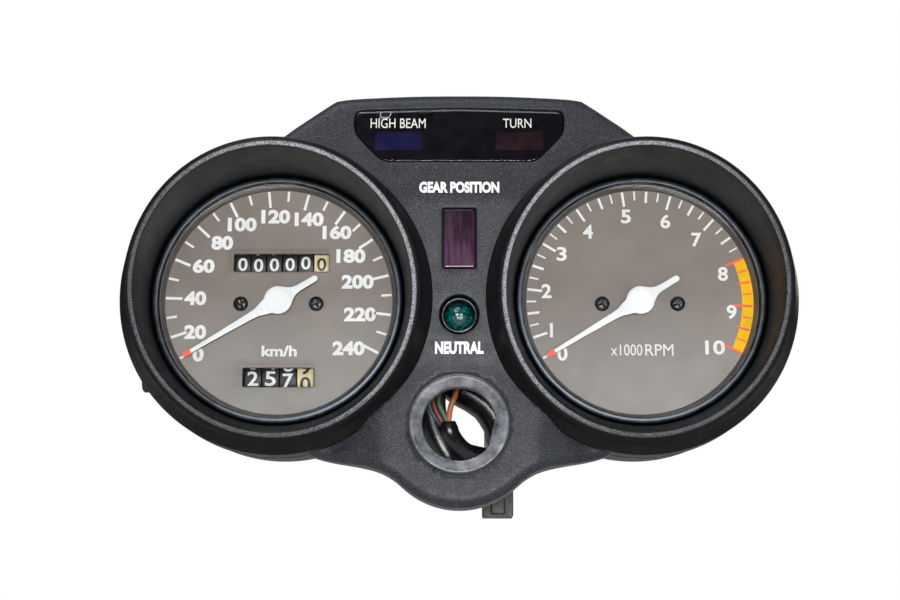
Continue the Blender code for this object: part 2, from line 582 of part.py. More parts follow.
def make_bracket():
    face = (0.0, FACE_Y, 0.0)
    outline = [(-34.0, -14.0), (10.0, -14.0), (10.0, -74.0), (20.0, -74.0), (20.0, -14.0), (34.0, -14.0),
               (38.0, 9.0), (90.0, 9.0), *arc((90.0, 19.0), 10.0, -80.0, 80.0, 6), (90.0, 32.0),
               (54.0, 32.0),
               (54.0, 69.0), (44.0, 69.0), (44.0, 32.0)]
    outline += [(-44.0, 32.0), (-44.0, 69.0), (-54.0, 69.0), (-54.0, 32.0), (-90.0, 32.0),
                *arc((-90.0, 19.0), 10.0, 100.0, 260.0, 6), (-90.0, 9.0), (-38.0, 9.0)]
    bracket = prism("mounting_bracket", outline, PLATE_FRONT, PLATE_REAR, ZINC, face)
    unite(bracket, block("flange", (-43.0, 63.0, 29.0), (43.0, PLATE_REAR - 1.0, 31.6), None, face))
    for side in (-1.0, 1.0):
        low, high = sorted((side * 44.5, side * 53.5))
        arm = block("arm", (low, 26.0, 66.0), (high, PLATE_REAR - 1.0, 68.6), None, face)
        tab = block("tab", (low, 26.2, 58.0), (high, 29.0, 68.4), None, face)
        unite(bracket, arm, tab)
    holes = [(side * (HUB_X + end * STUD_X), STUD_Z, 6.4) for side in (-1.0, 1.0) for end in (-1.0, 1.0)]
    holes += [(side * PAD_HOLE_X, 0.0, PAD_HOLE_R) for side in (-1.0, 1.0)]
    for x, z, radius in holes:
        profile = ((0.0, 60.0), (radius, 60.0), (radius, 80.0), (0.0, 80.0))
        cut(bracket, turned("hole", profile, None, at=(x, FACE_Y, z), steps=16))
    for side in (-1.0, 1.0):
        profile = ((0.0, 20.0), (2.2, 20.0), (2.2, 35.0), (0.0, 35.0))
        cut(bracket, turned("hole", profile, None, at=(side * POST_X, FACE_Y, POST_Z), steps=12))
    return bracket


def make_damped_mounts():
    damper = ((2.9, COVER_REAR + GAP), (9.0, COVER_REAR + GAP), (9.0, PLATE_FRONT - GAP),
              (6.0, PLATE_FRONT - GAP),
              (6.0, PLATE_REAR + GAP), (9.0, PLATE_REAR + GAP), (9.0, 76.0), (2.9, 76.0))
    nut = ((0.0, 84.2), (3.2, 83.6), (5.6, 80.4), (5.6, 76.4), (2.8, 76.4), (2.8, 80.8), (0.0, 80.8))
    for label, hub in (("speedometer", -HUB_X), ("tachometer", HUB_X)):
        for side, end in ((-1.0, "left"), (1.0, "right")):
            at = (hub + side * STUD_X, FACE_Y, STUD_Z)
            turned(f"{label}_damper_{end}", damper, RUBBER, at=at, steps=16, hollow=True)
            turned(f"{label}_cap_nut_{end}", nut, ZINC, at=at, steps=12)


def make_harness():
    """Lamp wires run down behind the panel into a sleeve, past the switch hole, to the connector."""
    at = (0.0, FACE_Y, 0.0)
    connector = block("harness_connector", (9.0, 50.0, -77.0), (21.0, 66.0, -62.0), CONNECTOR_PLASTIC, at)
    unite(connector, block("clip", (12.5, 65.0, -73.0), (17.5, PLATE_FRONT - GAP, -65.0), None, at),
          block("latch", (12.5, 48.4, -76.0), (17.5, 51.0, -66.0), None, at))
    tube("harness_sleeve", ((-4.0, 41.0, -29.0), (-5.0, 40.0, -38.0), (-3.5, 41.0, -46.0),
                            (2.0, 45.0, -52.0),
                            (10.0, 52.0, -54.0), (14.6, 57.0, -57.0), (15.0, 58.0, -61.6)), 3.6, RUBBER, at)
    tube("wire_warning_lamps", ((HIGH_BEAM_X, 35.7, LAMP_Z), (-21.8, 42.0, 58.6), (-12.0, 46.0, 44.0),
                                (-4.5, 47.0, 28.0), (-4.0, 46.0, 8.0), (-4.5, 44.0, -12.0),
                                (-5.5, 41.6, -28.4)),
         1.5, RUBBER, at)
    tube("wire_neutral_lamp", ((0.0, 26.4, NEUTRAL_Z), (0.4, 32.0, -7.5), (0.0, 37.5, -14.0),
                               (-1.2, 39.6, -22.0), (-1.8, 40.0, -28.6)), 1.0, ORANGE_WIRE, at)


def main():
    for thing in list(bpy.data.objects):
        bpy.data.objects.remove(thing)
    make_front_case()
    make_lamps()
    make_gear_display()
    make_neutral_lamp()
    windows = ((ODOMETER_X, ODOMETER_Z, *ODOMETER_WINDOW), (TRIP_X, TRIP_Z, *TRIP_WINDOW))
    counters = ((ODOMETER_Z, -19.4, 20.8, True), (TRIP_Z, -15.2, 15.8, False))
    make_gauge("speedometer", -HUB_X, windows, counters)
    make_gauge("tachometer", HUB_X, (), ())
    make_counters()
    make_bracket()
    make_damped_mounts()
    make_harness()


main()
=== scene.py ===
"""Looks of a motorcycle instrument cluster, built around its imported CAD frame.

Sizes are millimetres in the CAD frame: +X to the right, +Y away from the rider, +Z up.
A "depth" is measured along +Y from the front faces of the bezels.
"""

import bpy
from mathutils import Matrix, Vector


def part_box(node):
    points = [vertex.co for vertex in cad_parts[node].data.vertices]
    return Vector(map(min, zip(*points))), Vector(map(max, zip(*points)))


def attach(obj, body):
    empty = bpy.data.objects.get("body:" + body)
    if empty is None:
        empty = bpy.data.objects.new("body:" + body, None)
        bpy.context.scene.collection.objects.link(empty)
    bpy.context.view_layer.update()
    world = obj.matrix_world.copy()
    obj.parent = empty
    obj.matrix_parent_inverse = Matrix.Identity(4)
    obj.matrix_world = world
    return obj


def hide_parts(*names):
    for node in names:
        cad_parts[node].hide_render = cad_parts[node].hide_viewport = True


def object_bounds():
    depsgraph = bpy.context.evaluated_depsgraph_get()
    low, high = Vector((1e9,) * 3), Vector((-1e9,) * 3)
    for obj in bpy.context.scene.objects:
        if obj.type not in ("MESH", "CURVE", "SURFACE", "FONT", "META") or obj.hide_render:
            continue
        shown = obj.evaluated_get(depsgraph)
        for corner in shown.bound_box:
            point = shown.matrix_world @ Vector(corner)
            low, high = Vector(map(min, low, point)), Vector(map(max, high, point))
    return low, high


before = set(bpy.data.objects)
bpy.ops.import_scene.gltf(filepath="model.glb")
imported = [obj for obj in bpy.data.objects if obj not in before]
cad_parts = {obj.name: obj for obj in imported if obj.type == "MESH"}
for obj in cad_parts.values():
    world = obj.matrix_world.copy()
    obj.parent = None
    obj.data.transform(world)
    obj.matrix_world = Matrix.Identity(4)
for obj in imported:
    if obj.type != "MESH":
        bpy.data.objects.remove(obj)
cad_bounds = [list(corner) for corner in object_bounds()]

import math

import bmesh
import bpy
from mathutils import Vector
from mathutils.geometry import delaunay_2d_cdt

MM = 0.001
X, Y, Z = 0, 1, 2
SIDES = (("left", -1.0), ("right", 1.0))


def centre(node, axis):
    """The middle of a CAD node along an axis, in mm."""
    low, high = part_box(node)
    return (low[axis] + high[axis]) / 2 / MM


# Places read from the frame
FACE_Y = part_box("speedometer_bezel")[0].y / MM
HUBS = {gauge: centre(f"{gauge}_bezel", X) for gauge in ("speedometer", "tachometer")}
ODOMETER_Z = centre("odometer_drum_10000", Z)
TRIP_Z = centre("trip_drum_100", Z)
DRUM_DEPTH = centre("trip_drum_100", Y) - FACE_Y
LAMP_Z = centre("high_beam_filter", Z)
NEUTRAL_Z = centre("neutral_lens", Z)
STUD_Z = centre("speedometer_cap_nut_left", Z)
STUD_X = 22.0

DIAL = [corner.y / MM - FACE_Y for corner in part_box("speedometer_dial")]
DIAL_DEPTH = DIAL[1] - 0.8
RIM_DEPTH = DIAL[0]
GLASS = [corner.y / MM - FACE_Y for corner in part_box("speedometer_glass")]
NEEDLE = [corner.y / MM - FACE_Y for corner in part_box("speedometer_needle")]

# The front case
WALL = 2.4
EDGE = 4.0                       # radius of the panel's outer edge
CASE_REAR = 15.0
CREASES = ((79.0, 2.0), (37.0, -4.0), (-26.0, -2.0), (-77.0, -6.0))   # (height, depth)
CREASE_SOFTNESS = 0.9
GRAIN = 0.42                     # of the moulded plastic
HOOD_DEPTH, HOOD_SLOPE = 18.0, 0.24
HOOD_SEAT_R = 54.5
BOSS_Z, BOSS_R = -46.4, 30.5
SWITCH_R, SWITCH_FLAT, SWITCH_FLAT_ANGLE = 13.5, 12.2, math.radians(-14.0)
SEAT_R = 18.3
CASE_SCREW = (49.0, 62.5)        # place in x and z
WINDOW = ((-39.3, 62.5), (-28.7, 51.2), (28.7, 51.2), (39.3, 62.5), (39.3, 72.0), (0.0, 73.1),
          (-39.3, 72.0))
FILTER = (9.0, 3.8)              # half width, half height
GEAR_WINDOW = (6.3, 10.5, 33.2)  # half width, bottom, top
NEUTRAL_R = 7.3

# The dials
TICK_R = 41.9
ZERO, FIRST, LAST = 210.6, 198.9, -27.6     # directions of the zero, first and last marks, degrees from +X
NEEDLE_ZERO = 211.0
DIAL_SCREW = (14.0, -1.0)
ODOMETER_WINDOW, TRIP_WINDOW = (17.7, 3.35), (13.2, 3.55)     # half width, half height
ODOMETER_DIGIT, TRIP_DIGIT = (3.5, 5.0), (4.0, 5.5)     # width, height


# ---------------------------------------------------------------- materials

class Surface:
    """A node material around one Principled shader, textured in object space."""

    def __init__(self, name):
        self.material = bpy.data.materials.new(name)
        self.material.use_nodes = True
        self.nodes = self.material.node_tree.nodes
        self.links = self.material.node_tree.links
        self.shader = self.nodes["Principled BSDF"]
        self.output = self.nodes["Material Output"]
        self.where = self.nodes.new("ShaderNodeTexCoord").outputs["Object"]

    def set(self, **values):
        for name, value in values.items():
            self.shader.inputs[name.replace("_", " ")].default_value = value
        return self

    def noise(self, size, detail=4.0, rough=0.55, stretch=None):
        """Noise whose features are about the size in mm."""
        node = self.nodes.new("ShaderNodeTexNoise")
        node.inputs["Scale"].default_value = 1.0 / (size * MM)
        node.inputs["Detail"].default_value = detail
        node.inputs["Roughness"].default_value = rough
        self.links.new(self.placed(stretch), node.inputs["Vector"])
        return node.outputs["Fac"]

    def cells(self, size):
        """Distance to the middles of cells about the size in mm."""
        node = self.nodes.new("ShaderNodeTexVoronoi")
        node.inputs["Scale"].default_value = 1.0 / (size * MM)
        self.links.new(self.where, node.inputs["Vector"])
        return node.outputs["Distance"]

    def placed(self, stretch):
        if stretch is None:
            return self.where
        mapping = self.nodes.new("ShaderNodeMapping")
        mapping.inputs["Scale"].default_value = stretch
        self.links.new(self.where, mapping.inputs["Vector"])
        return mapping.outputs["Vector"]

    def ramp(self, value, *stops):
        """Values or colours by position along the value."""
        node = self.nodes.new("ShaderNodeValToRGB")
        while len(node.color_ramp.elements) < len(stops):
            node.color_ramp.elements.new(0.5)
        for element, (position, colour) in zip(node.color_ramp.elements, stops):
            element.position = position
            element.color = colour if len(colour) == 4 else (*colour, 1.0)
        self.links.new(value, node.inputs["Fac"])
        return node.outputs["Color"]

    def span(self, value, low, high, start=0.3, end=0.7):
        """The value from start to end, mapped to low to high."""
        node = self.nodes.new("ShaderNodeMapRange")
        node.inputs["From Min"].default_value = start
        node.inputs["From Max"].default_value = end
        node.inputs["To Min"].default_value = low
        node.inputs["To Max"].default_value = high
        self.links.new(value, node.inputs["Value"])
        return node.outputs["Result"]

    def feed(self, socket, value):
        """A node's output, a number or a colour into a socket."""
        if hasattr(value, "is_linked"):
            self.links.new(value, socket)
        else:
            socket.default_value = (*value, 1.0) if isinstance(value, tuple) and len(value) == 3 else value

    def mix(self, share, first, second):
        node = self.nodes.new("ShaderNodeMix")
        node.data_type = "RGBA"
        for index, value in ((0, share), (6, first), (7, second)):
            self.feed(node.inputs[index], value)
        return node.outputs[2]

    def sum(self, first, second, operation="ADD"):
        node = self.nodes.new("ShaderNodeMath")
        node.operation = operation
        self.feed(node.inputs[0], first)
        self.feed(node.inputs[1], second)
        return node.outputs[0]

    def attribute(self, name):
        """A value stored on the mesh's points, or 0 where there is none."""
        node = self.nodes.new("ShaderNodeAttribute")
        node.attribute_name = name
        return node.outputs["Fac"]

    def upward(self):
        """How far the surface faces up, from 0 to 1."""
        geometry = self.nodes.new("ShaderNodeNewGeometry")
        split = self.nodes.new("ShaderNodeSeparateXYZ")
        self.links.new(geometry.outputs["Normal"], split.inputs[0])
        return split.outputs["Z"]

    def height(self):
        """Height in the object's own space, in metres."""
        split = self.nodes.new("ShaderNodeSeparateXYZ")
        self.links.new(self.where, split.inputs[0])
        return split.outputs["Z"]

    def colour(self, value):
        self.links.new(value, self.shader.inputs["Base Color"])
        return self

    def rough(self, value):
        self.links.new(value, self.shader.inputs["Roughness"])
        return self

    def bump(self, value, height, strength=1.0):
        """Relief of the given height in mm."""
        node = self.nodes.new("ShaderNodeBump")
        node.inputs["Strength"].default_value = strength
        node.inputs["Distance"].default_value = height * MM
        self.links.new(value, node.inputs["Height"])
        self.links.new(node.outputs["Normal"], self.shader.inputs["Normal"])
        return self


def plain(name, dark, light, rough=(0.4, 0.55), blotch=6.0, grain=0.3, relief=0.02, **values):
    """Paint, plastic, rubber or metal with blotches of colour, uneven gloss and a fine grain."""
    surface = Surface(name).set(**values)
    patches = surface.noise(blotch, 5.0)
    fine = surface.noise(grain, 3.0)
    surface.colour(surface.ramp(surface.sum(patches, surface.sum(fine, 0.35, "MULTIPLY")),
                                (0.45, dark), (0.9, light)))
    surface.rough(surface.span(surface.noise(blotch * 0.4, 4.0), *rough))
    surface.bump(fine, relief)
    return surface.material


def moulded_plastic(name, dark, light, speck, relief, specular):
    """Black plastic with a leathery grain and dusty specks in it; where the attribute says so, a light grey
    crest of worn grain with a painted highlight.
    """
    surface = Surface(name).set(Specular_IOR_Level=specular)
    fine = surface.noise(GRAIN, 2.5, 0.6)
    cells = surface.cells(GRAIN * 1.3)
    base = surface.ramp(surface.noise(14.0, 6.0, 0.62), (0.35, dark), (0.72, light))
    sparks = surface.ramp(surface.sum(fine, surface.sum(cells, 0.3, "MULTIPLY")),
                          (0.60, (0, 0, 0)), (0.86, (1, 1, 1)))
    # Light grey crest: worn grain with a painted highlight on it, as strong as the attribute.
    worn_grain_and_highlight = surface.ramp(surface.noise(0.55, 3.0, 0.7),
                              (0.36, (0.045, 0.045, 0.05)), (0.62, (0.34, 0.34, 0.37)))
    surface.colour(surface.mix(surface.attribute("wear_and_highlight"), surface.mix(sparks, base, speck), worn_grain_and_highlight))
    surface.rough(surface.span(surface.noise(3.0, 5.0), 0.36, 0.52))
    surface.bump(surface.sum(fine, cells), relief)
    return surface.material


def dial_paint():
    """Brown-grey paint, lighter towards the foot of the dial as painted light."""
    surface = Surface("dial_paint").set(Specular_IOR_Level=0.35)
    fine = surface.noise(0.35, 2.0)
    haze = surface.noise(40.0, 3.0)
    paint = surface.ramp(surface.sum(haze, surface.sum(fine, 0.25, "MULTIPLY")),
                         (0.35, (0.165, 0.138, 0.120)), (0.85, (0.222, 0.190, 0.168)))
    # Painted light: the lower the paint sits on the dial, the more it is mixed with pale grey.
    settled_dirt_and_painted_light = surface.span(surface.height(), 0.42, 0.0, -38.0 * MM, 6.0 * MM)
    dust_and_painted_light = surface.sum(settled_dirt_and_painted_light, surface.span(surface.noise(14.0), 0.85, 1.15), "MULTIPLY")
    surface.colour(surface.mix(dust_and_painted_light, paint, (0.42, 0.42, 0.415)))
    surface.rough(surface.span(surface.noise(1.5), 0.42, 0.55))
    surface.bump(fine, 0.004)
    return surface.material


def clear_cover(name, tint, gloss_rough):
    """Clear or smoked cover: light passes straight through, tinted, under a glossy skin."""
    surface = Surface(name)
    nodes, links = surface.nodes, surface.links
    nodes.remove(surface.shader)
    passing = nodes.new("ShaderNodeBsdfTransparent")
    lighter = tuple(min(1.0, c * 1.06) for c in tint)
    links.new(surface.ramp(surface.noise(9.0, 4.0), (0.3, tint), (0.7, lighter)), passing.inputs["Color"])
    skin = nodes.new("ShaderNodeBsdfGlossy")
    skin.inputs["Color"].default_value = (1, 1, 1, 1)
    links.new(surface.span(surface.noise(5.0, 6.0), *gloss_rough), skin.inputs["Roughness"])
    edge = nodes.new("ShaderNodeFresnel")
    edge.inputs["IOR"].default_value = 1.45
    mixer = nodes.new("ShaderNodeMixShader")
    for index, output in enumerate((edge.outputs[0], passing.outputs[0], skin.outputs[0])):
        links.new(output, mixer.inputs[index])
    links.new(mixer.outputs[0], surface.output.inputs["Surface"])
    return surface.material


def purple_plastic():
    surface = Surface("purple_lens").set(Coat_Weight=0.35, Coat_Roughness=0.06, Specular_IOR_Level=0.35)
    streaks = surface.noise(1.6, 3.0, stretch=(1.0, 1.0, 0.12))
    # Painted light and shade: the pane is lighter at its foot and darker at its top.
    painted_light_to_foot = surface.span(surface.height(), 0.9, 0.25, 0.012, 0.032)
    level = surface.sum(surface.sum(streaks, 0.5, "MULTIPLY"),
                        surface.sum(painted_light_to_foot, 0.6, "MULTIPLY"))
    surface.colour(surface.ramp(level, (0.25, (0.004, 0.002, 0.006)), (0.8, (0.042, 0.006, 0.034))))
    surface.rough(surface.span(streaks, 0.12, 0.25))
    surface.bump(streaks, 0.01)
    return surface.material


def teal_plastic():
    surface = Surface("teal_lens").set(Coat_Weight=0.5, Coat_Roughness=0.12)
    facets = surface.cells(1.5)
    surface.colour(surface.ramp(facets, (0.1, (0.0, 0.12, 0.10)), (0.75, (0.0, 0.012, 0.014))))
    surface.rough(surface.span(surface.noise(0.8), 0.1, 0.22))
    surface.bump(facets, 0.25)
    # Painted glow: the facets give off a faint green light, with no lamp lit behind the lens.
    surface.links.new(surface.ramp(facets, (0.02, (0.0, 0.10, 0.09)), (0.45, (0.0, 0.012, 0.014))),
                      surface.shader.inputs["Emission Color"])
    surface.set(Emission_Strength=0.5)
    return surface.material


def weathered(name, base, dust_and_painted_light, rough, metallic, dust_level):
    """A part with road dirt on it, most of it in patches and on what faces up."""
    surface = Surface(name).set(Metallic=metallic)
    patches = surface.noise(9.0, 7.0, 0.65)
    fine = surface.noise(0.5, 3.0, 0.65)
    # This share is road dirt on what faces up, not painted light.
    settled_dirt_and_painted_light = surface.span(surface.upward(), 0.0, 0.3, 0.1, 1.0)
    cover = surface.sum(surface.span(surface.sum(patches, surface.sum(fine, 0.4, "MULTIPLY")), 0.0, 1.0,
                                     0.95 - dust_level * 0.5, 1.15 - dust_level * 0.3), settled_dirt_and_painted_light)
    tone = surface.ramp(surface.noise(3.0, 4.0), (0.35, tuple(c * 0.7 for c in base)), (0.7, base))
    dirt = surface.ramp(fine, (0.3, tuple(c * 0.6 for c in dust_and_painted_light)), (0.75, dust_and_painted_light))
    surface.colour(surface.mix(cover, tone, dirt))
    surface.rough(surface.span(cover, *rough, 0.0, 1.0))
    surface.bump(surface.sum(fine, patches), 0.04)
    return surface.material


def metal(name, base, rough=(0.28, 0.42), tarnish=None):
    surface = Surface(name).set(Metallic=1.0)
    tone = surface.noise(4.0, 5.0)
    surface.colour(surface.ramp(tone, (0.3, tarnish or tuple(c * 0.6 for c in base)), (0.62, base)))
    fine = surface.noise(0.25, 3.0)
    surface.rough(surface.span(surface.sum(fine, tone), *rough, 0.7, 1.3))
    surface.bump(fine, 0.006)
    return surface.material


def make_materials():
    """Every look by its short name."""
    return {
        "grained": moulded_plastic("grained_plastic", (0.0075, 0.0085, 0.0115), (0.016, 0.018, 0.023),
                                   (0.050, 0.055, 0.066), 0.045, 0.27),
        "hood": moulded_plastic("hood_plastic", (0.003, 0.003, 0.0033), (0.006, 0.006, 0.0065),
                                (0.010, 0.0103, 0.011), 0.03, 0.12),
        "hood_inside": plain("hood_inside", (0.0035, 0.004, 0.0045), (0.007, 0.0075, 0.0085), (0.38, 0.5),
                             20.0, 0.5, 0.012, Specular_IOR_Level=0.25),
        "seat": plain("worn_seat", (0.022, 0.024, 0.028), (0.185, 0.195, 0.215), (0.24, 0.46), 4.0, 0.65,
                      0.03),
        "smoked": clear_cover("smoked_lens", (0.46, 0.44, 0.48), (0.10, 0.22)),
        "mask": plain("lamp_mask", (0.022, 0.022, 0.030), (0.085, 0.083, 0.105), (0.3, 0.5), 7.0, 0.4,
                      0.01),
        "blue": plain("blue_filter", (0.12, 0.14, 0.62), (0.16, 0.19, 0.85), (0.3, 0.4), 5.0, 0.6, 0.01),
        "red": plain("red_filter", (0.26, 0.12, 0.13), (0.36, 0.18, 0.19), (0.3, 0.4), 5.0, 0.6, 0.01),
        "pale": plain("pale_plastic", (0.42, 0.41, 0.37), (0.58, 0.57, 0.53), (0.45, 0.6)),
        "purple": purple_plastic(),
        "teal": teal_plastic(),
        "lamp_ring": metal("lamp_ring", (0.12, 0.125, 0.125), (0.25, 0.42), tarnish=(0.03, 0.03, 0.03)),
        "bezel": metal("bezel_metal", (0.055, 0.063, 0.073), (0.30, 0.46), tarnish=(0.030, 0.035, 0.042)),
        "glass": clear_cover("gauge_glass", (0.965, 0.972, 0.968), (0.01, 0.05)),
        "dial": dial_paint(),
        # The dial rim: the dial's own taupe paint, darkened as painted shade.
        "rim": plain("dial_rim", (0.075, 0.066, 0.062), (0.115, 0.102, 0.096), (0.4, 0.55), 12.0, 0.4,
                     0.01),
        "legend": plain("legend_white", (0.72, 0.72, 0.715), (0.82, 0.82, 0.815), (0.4, 0.5), 5.0, 0.4,
                        0.006),
        "legend_aged": plain("legend_aged", (0.52, 0.51, 0.46), (0.66, 0.65, 0.60), (0.4, 0.5), 2.0, 0.4,
                             0.006),
        "amber": plain("scale_amber", (0.84, 0.45, 0.002), (0.92, 0.55, 0.004), (0.5, 0.6), 8.0, 0.4, 0.005,
                       Specular_IOR_Level=0.15),
        "scarlet": plain("scale_red", (0.78, 0.075, 0.020), (0.88, 0.11, 0.035), (0.4, 0.5), 8.0, 0.4,
                         0.005),
        "needle": plain("needle_white", (0.70, 0.715, 0.73), (0.79, 0.805, 0.82), (0.38, 0.48), 9.0, 0.5,
                        0.006),
        "needle_side": plain("needle_side", (0.014, 0.013, 0.013), (0.03, 0.028, 0.027), (0.45, 0.6)),
        "screw": metal("screw_steel", (0.085, 0.088, 0.09), (0.3, 0.45), tarnish=(0.03, 0.03, 0.032)),
        "drum": plain("drum_black", (0.006, 0.006, 0.007), (0.014, 0.014, 0.015), (0.4, 0.55), 4.0, 0.4,
                      0.01),
        "cream": plain("drum_cream", (0.66, 0.53, 0.30), (0.78, 0.66, 0.42), (0.4, 0.5), 3.0, 0.4, 0.01),
        "digit_black": plain("digit_black", (0.010, 0.009, 0.008), (0.02, 0.018, 0.016), (0.4, 0.5)),
        "cover": weathered("rear_cover_paint", (0.052, 0.042, 0.035), (0.150, 0.116, 0.088), (0.5, 0.85),
                           0.0, 0.75),
        "alloy": metal("can_alloy", (0.62, 0.62, 0.63), (0.3, 0.45), tarnish=(0.38, 0.37, 0.35)),
        "steel": metal("shaft_steel", (0.50, 0.50, 0.50), (0.22, 0.36)),
        "zinc": weathered("zinc_plate", (0.56, 0.53, 0.44), (0.17, 0.13, 0.09), (0.34, 0.75), 0.85, 0.35),
        "bracket": weathered("bracket_enamel", (0.020, 0.020, 0.021), (0.13, 0.095, 0.065), (0.32, 0.8),
                             0.0, 0.4),
        "rubber": weathered("black_rubber", (0.010, 0.010, 0.011), (0.075, 0.062, 0.050), (0.62, 0.85),
                            0.0, 0.3),
        "sleeve": plain("harness_sleeve", (0.004, 0.004, 0.005), (0.010, 0.011, 0.013), (0.2, 0.32), 7.0,
                        0.8, 0.02),
        "connector": plain("connector_plastic", (0.020, 0.019, 0.018), (0.045, 0.042, 0.038), (0.45, 0.6)),
        "wire_black": plain("wire_black", (0.008, 0.008, 0.009), (0.02, 0.02, 0.021), (0.3, 0.42)),
        "wire_orange": plain("wire_orange", (0.42, 0.115, 0.035), (0.62, 0.20, 0.07), (0.34, 0.46)),
        "wire_red": plain("wire_red", (0.17, 0.035, 0.024), (0.28, 0.06, 0.04), (0.34, 0.46)),
        "wire_green": plain("wire_green", (0.06, 0.12, 0.08), (0.11, 0.20, 0.13), (0.34, 0.46)),
        "wire_blue": plain("wire_blue", (0.02, 0.05, 0.11), (0.035, 0.08, 0.17), (0.34, 0.46)),
    }


LOOK = make_materials()


# ---------------------------------------------------------------- modelling tools

def piece(name, points, faces, looks, body="cluster", at=(0.0, 0.0, 0.0), replaces=(),
          smooth=38.0, face_looks=None):
    """A mesh piece from points in mm around the place at, riding on a body."""
    mesh = bpy.data.meshes.new(name)
    mesh.from_pydata([tuple((p + q) * MM for p, q in zip(point, at)) for point in points], [], faces)
    return dress(name, mesh, looks, body, replaces, smooth, face_looks)


def dress(name, mesh, looks, body="cluster", replaces=(), smooth=38.0, face_looks=None):
    """Materials, clean normals and sharp edges for a mesh, which then rides on a body."""
    looks = [looks] if isinstance(looks, str) else looks
    for look in looks:
        mesh.materials.append(LOOK[look])
    if face_looks:
        for polygon, index in zip(mesh.polygons, face_looks):
            polygon.material_index = index
    bm = bmesh.new()
    bm.from_mesh(mesh)
    bmesh.ops.remove_doubles(bm, verts=bm.verts, dist=1e-7)
    bmesh.ops.recalc_face_normals(bm, faces=bm.faces)
    bm.to_mesh(mesh)
    bm.free()
    mesh.shade_smooth()
    mesh.set_sharp_from_angle(angle=math.radians(smooth))
    made = bpy.data.objects.new(name, mesh)
    bpy.context.scene.collection.objects.link(made)
    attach(made, body)
    if replaces:
        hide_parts(*([replaces] if isinstance(replaces, str) else replaces))
    return made


def rounded(profile, radius, closed=False, segments=4):
    """The corners of a profile rounded off, in any number of dimensions."""
    result = []
    for i, corner in enumerate(profile):
        if not closed and i in (0, len(profile) - 1):
            result.append(tuple(corner))
            continue
        here = Vector(corner)
        back = Vector(profile[i - 1]) - here
        onward = Vector(profile[(i + 1) % len(profile)]) - here
        reach = min(radius, 0.45 * back.length, 0.45 * onward.length)
        start, end = here + back.normalized() * reach, here + onward.normalized() * reach
        for k in range(segments + 1):
            t = k / segments
            result.append(tuple(start * (1 - t) ** 2 + here * (2 * t * (1 - t)) + end * t * t))
    return result


def lathe(profile, steps=96, axis="Y", hollow=False, warp=None):
    """Points and faces of a turned shape; the profile is (radius, position along the axis)."""
    points, rings = [], []
    for radius, along in profile:
        count = steps if radius > 0.001 else 1
        rings.append([len(points) + i for i in range(count)])
        for i in range(count):
            angle = 2.0 * math.pi * i / steps
            r = warp(radius, angle, along) if warp else radius
            across, up = r * math.cos(angle), r * math.sin(angle)
            points.append((across, along, up) if axis == "Y" else (along, across, up))
    faces = []
    for first, second in list(zip(rings, rings[1:])) + ([(rings[-1], rings[0])] if hollow else []):
        for i in range(steps):
            j = (i + 1) % steps
            around = ((first, i), (first, j), (second, j), (second, i))
            corners = [ring[k % len(ring)] for ring, k in around]
            faces.append(list(dict.fromkeys(corners)))
    return points, [face for face in faces if len(face) > 2]


def band(first, second, count):
    """Quads between two closed rings of points, by the indices that the rings start at."""
    return [[first + i, first + (i + 1) % count, second + (i + 1) % count, second + i]
            for i in range(count)]


def hexagon(across):
    """Holds a turned shape's radius inside a hexagon, given half the width across its flats."""
    def held(r, angle, along):
        return min(r, across / math.cos((angle + math.pi / 6) % (math.pi / 3) - math.pi / 6))
    return held


def turned(name, profile, look, at=(0.0, 0.0, 0.0), body="cluster", replaces=(), steps=96,
           axis="Y", hollow=False, radius=0.3, warp=None):
    """A turned piece, its corners rounded to the radius."""
    shape = rounded(profile, radius, hollow) if radius else profile
    points, faces = lathe(shape, steps, axis, hollow, warp)
    return piece(name, points, faces, look, body, (at[0], FACE_Y + at[1], at[2]), replaces)


def inset(outline, distance):
    """The anticlockwise outline moved inwards; a negative distance moves it out."""
    moved = []
    for i, here in enumerate(outline):
        point = Vector(here)
        before = (point - Vector(outline[i - 1])).normalized()
        after = (Vector(outline[(i + 1) % len(outline)]) - point).normalized()
        inward = Vector((-before.y - after.y, before.x + after.x))
        inward = inward.normalized() if inward.length > 1e-6 else Vector((-after.y, after.x))
        lean = max(0.5, inward.dot(Vector((-after.y, after.x))))
        moved.append(tuple(point + inward * distance / lean))
    return moved


def inside(point, outline):
    hits = 0
    for (x0, z0), (x1, z1) in zip(outline, outline[1:] + outline[:1]):
        if (z0 > point[1]) != (z1 > point[1]) and point[0] < x0 + (point[1] - z0) * (x1 - x0) / (z1 - z0):
            hits += 1
    return hits % 2 == 1


def arc(centre, radius, start, end, count):
    angles = [math.radians(start + (end - start) * i / (count - 1)) for i in range(count)]
    return [(centre[0] + radius * math.cos(a), centre[1] + radius * math.sin(a)) for a in angles]


def circle(centre, radius, count=72):
    return arc(centre, radius, 0.0, 360.0 * (count - 1) / count, count)


def box_outline(half_x, low, high, centre=0.0):
    return [(centre - half_x, low), (centre + half_x, low), (centre + half_x, high),
            (centre - half_x, high)]


def spaced(outline, step):
    """The closed outline with extra points so that none are further apart than the step."""
    result = []
    for here, there in zip(outline, outline[1:] + outline[:1]):
        gap = math.dist(here, there)
        count = max(1, math.ceil(gap / step))
        result += [(here[0] + (there[0] - here[0]) * k / count, here[1] + (there[1] - here[1]) * k / count)
                   for k in range(count)]
    return result


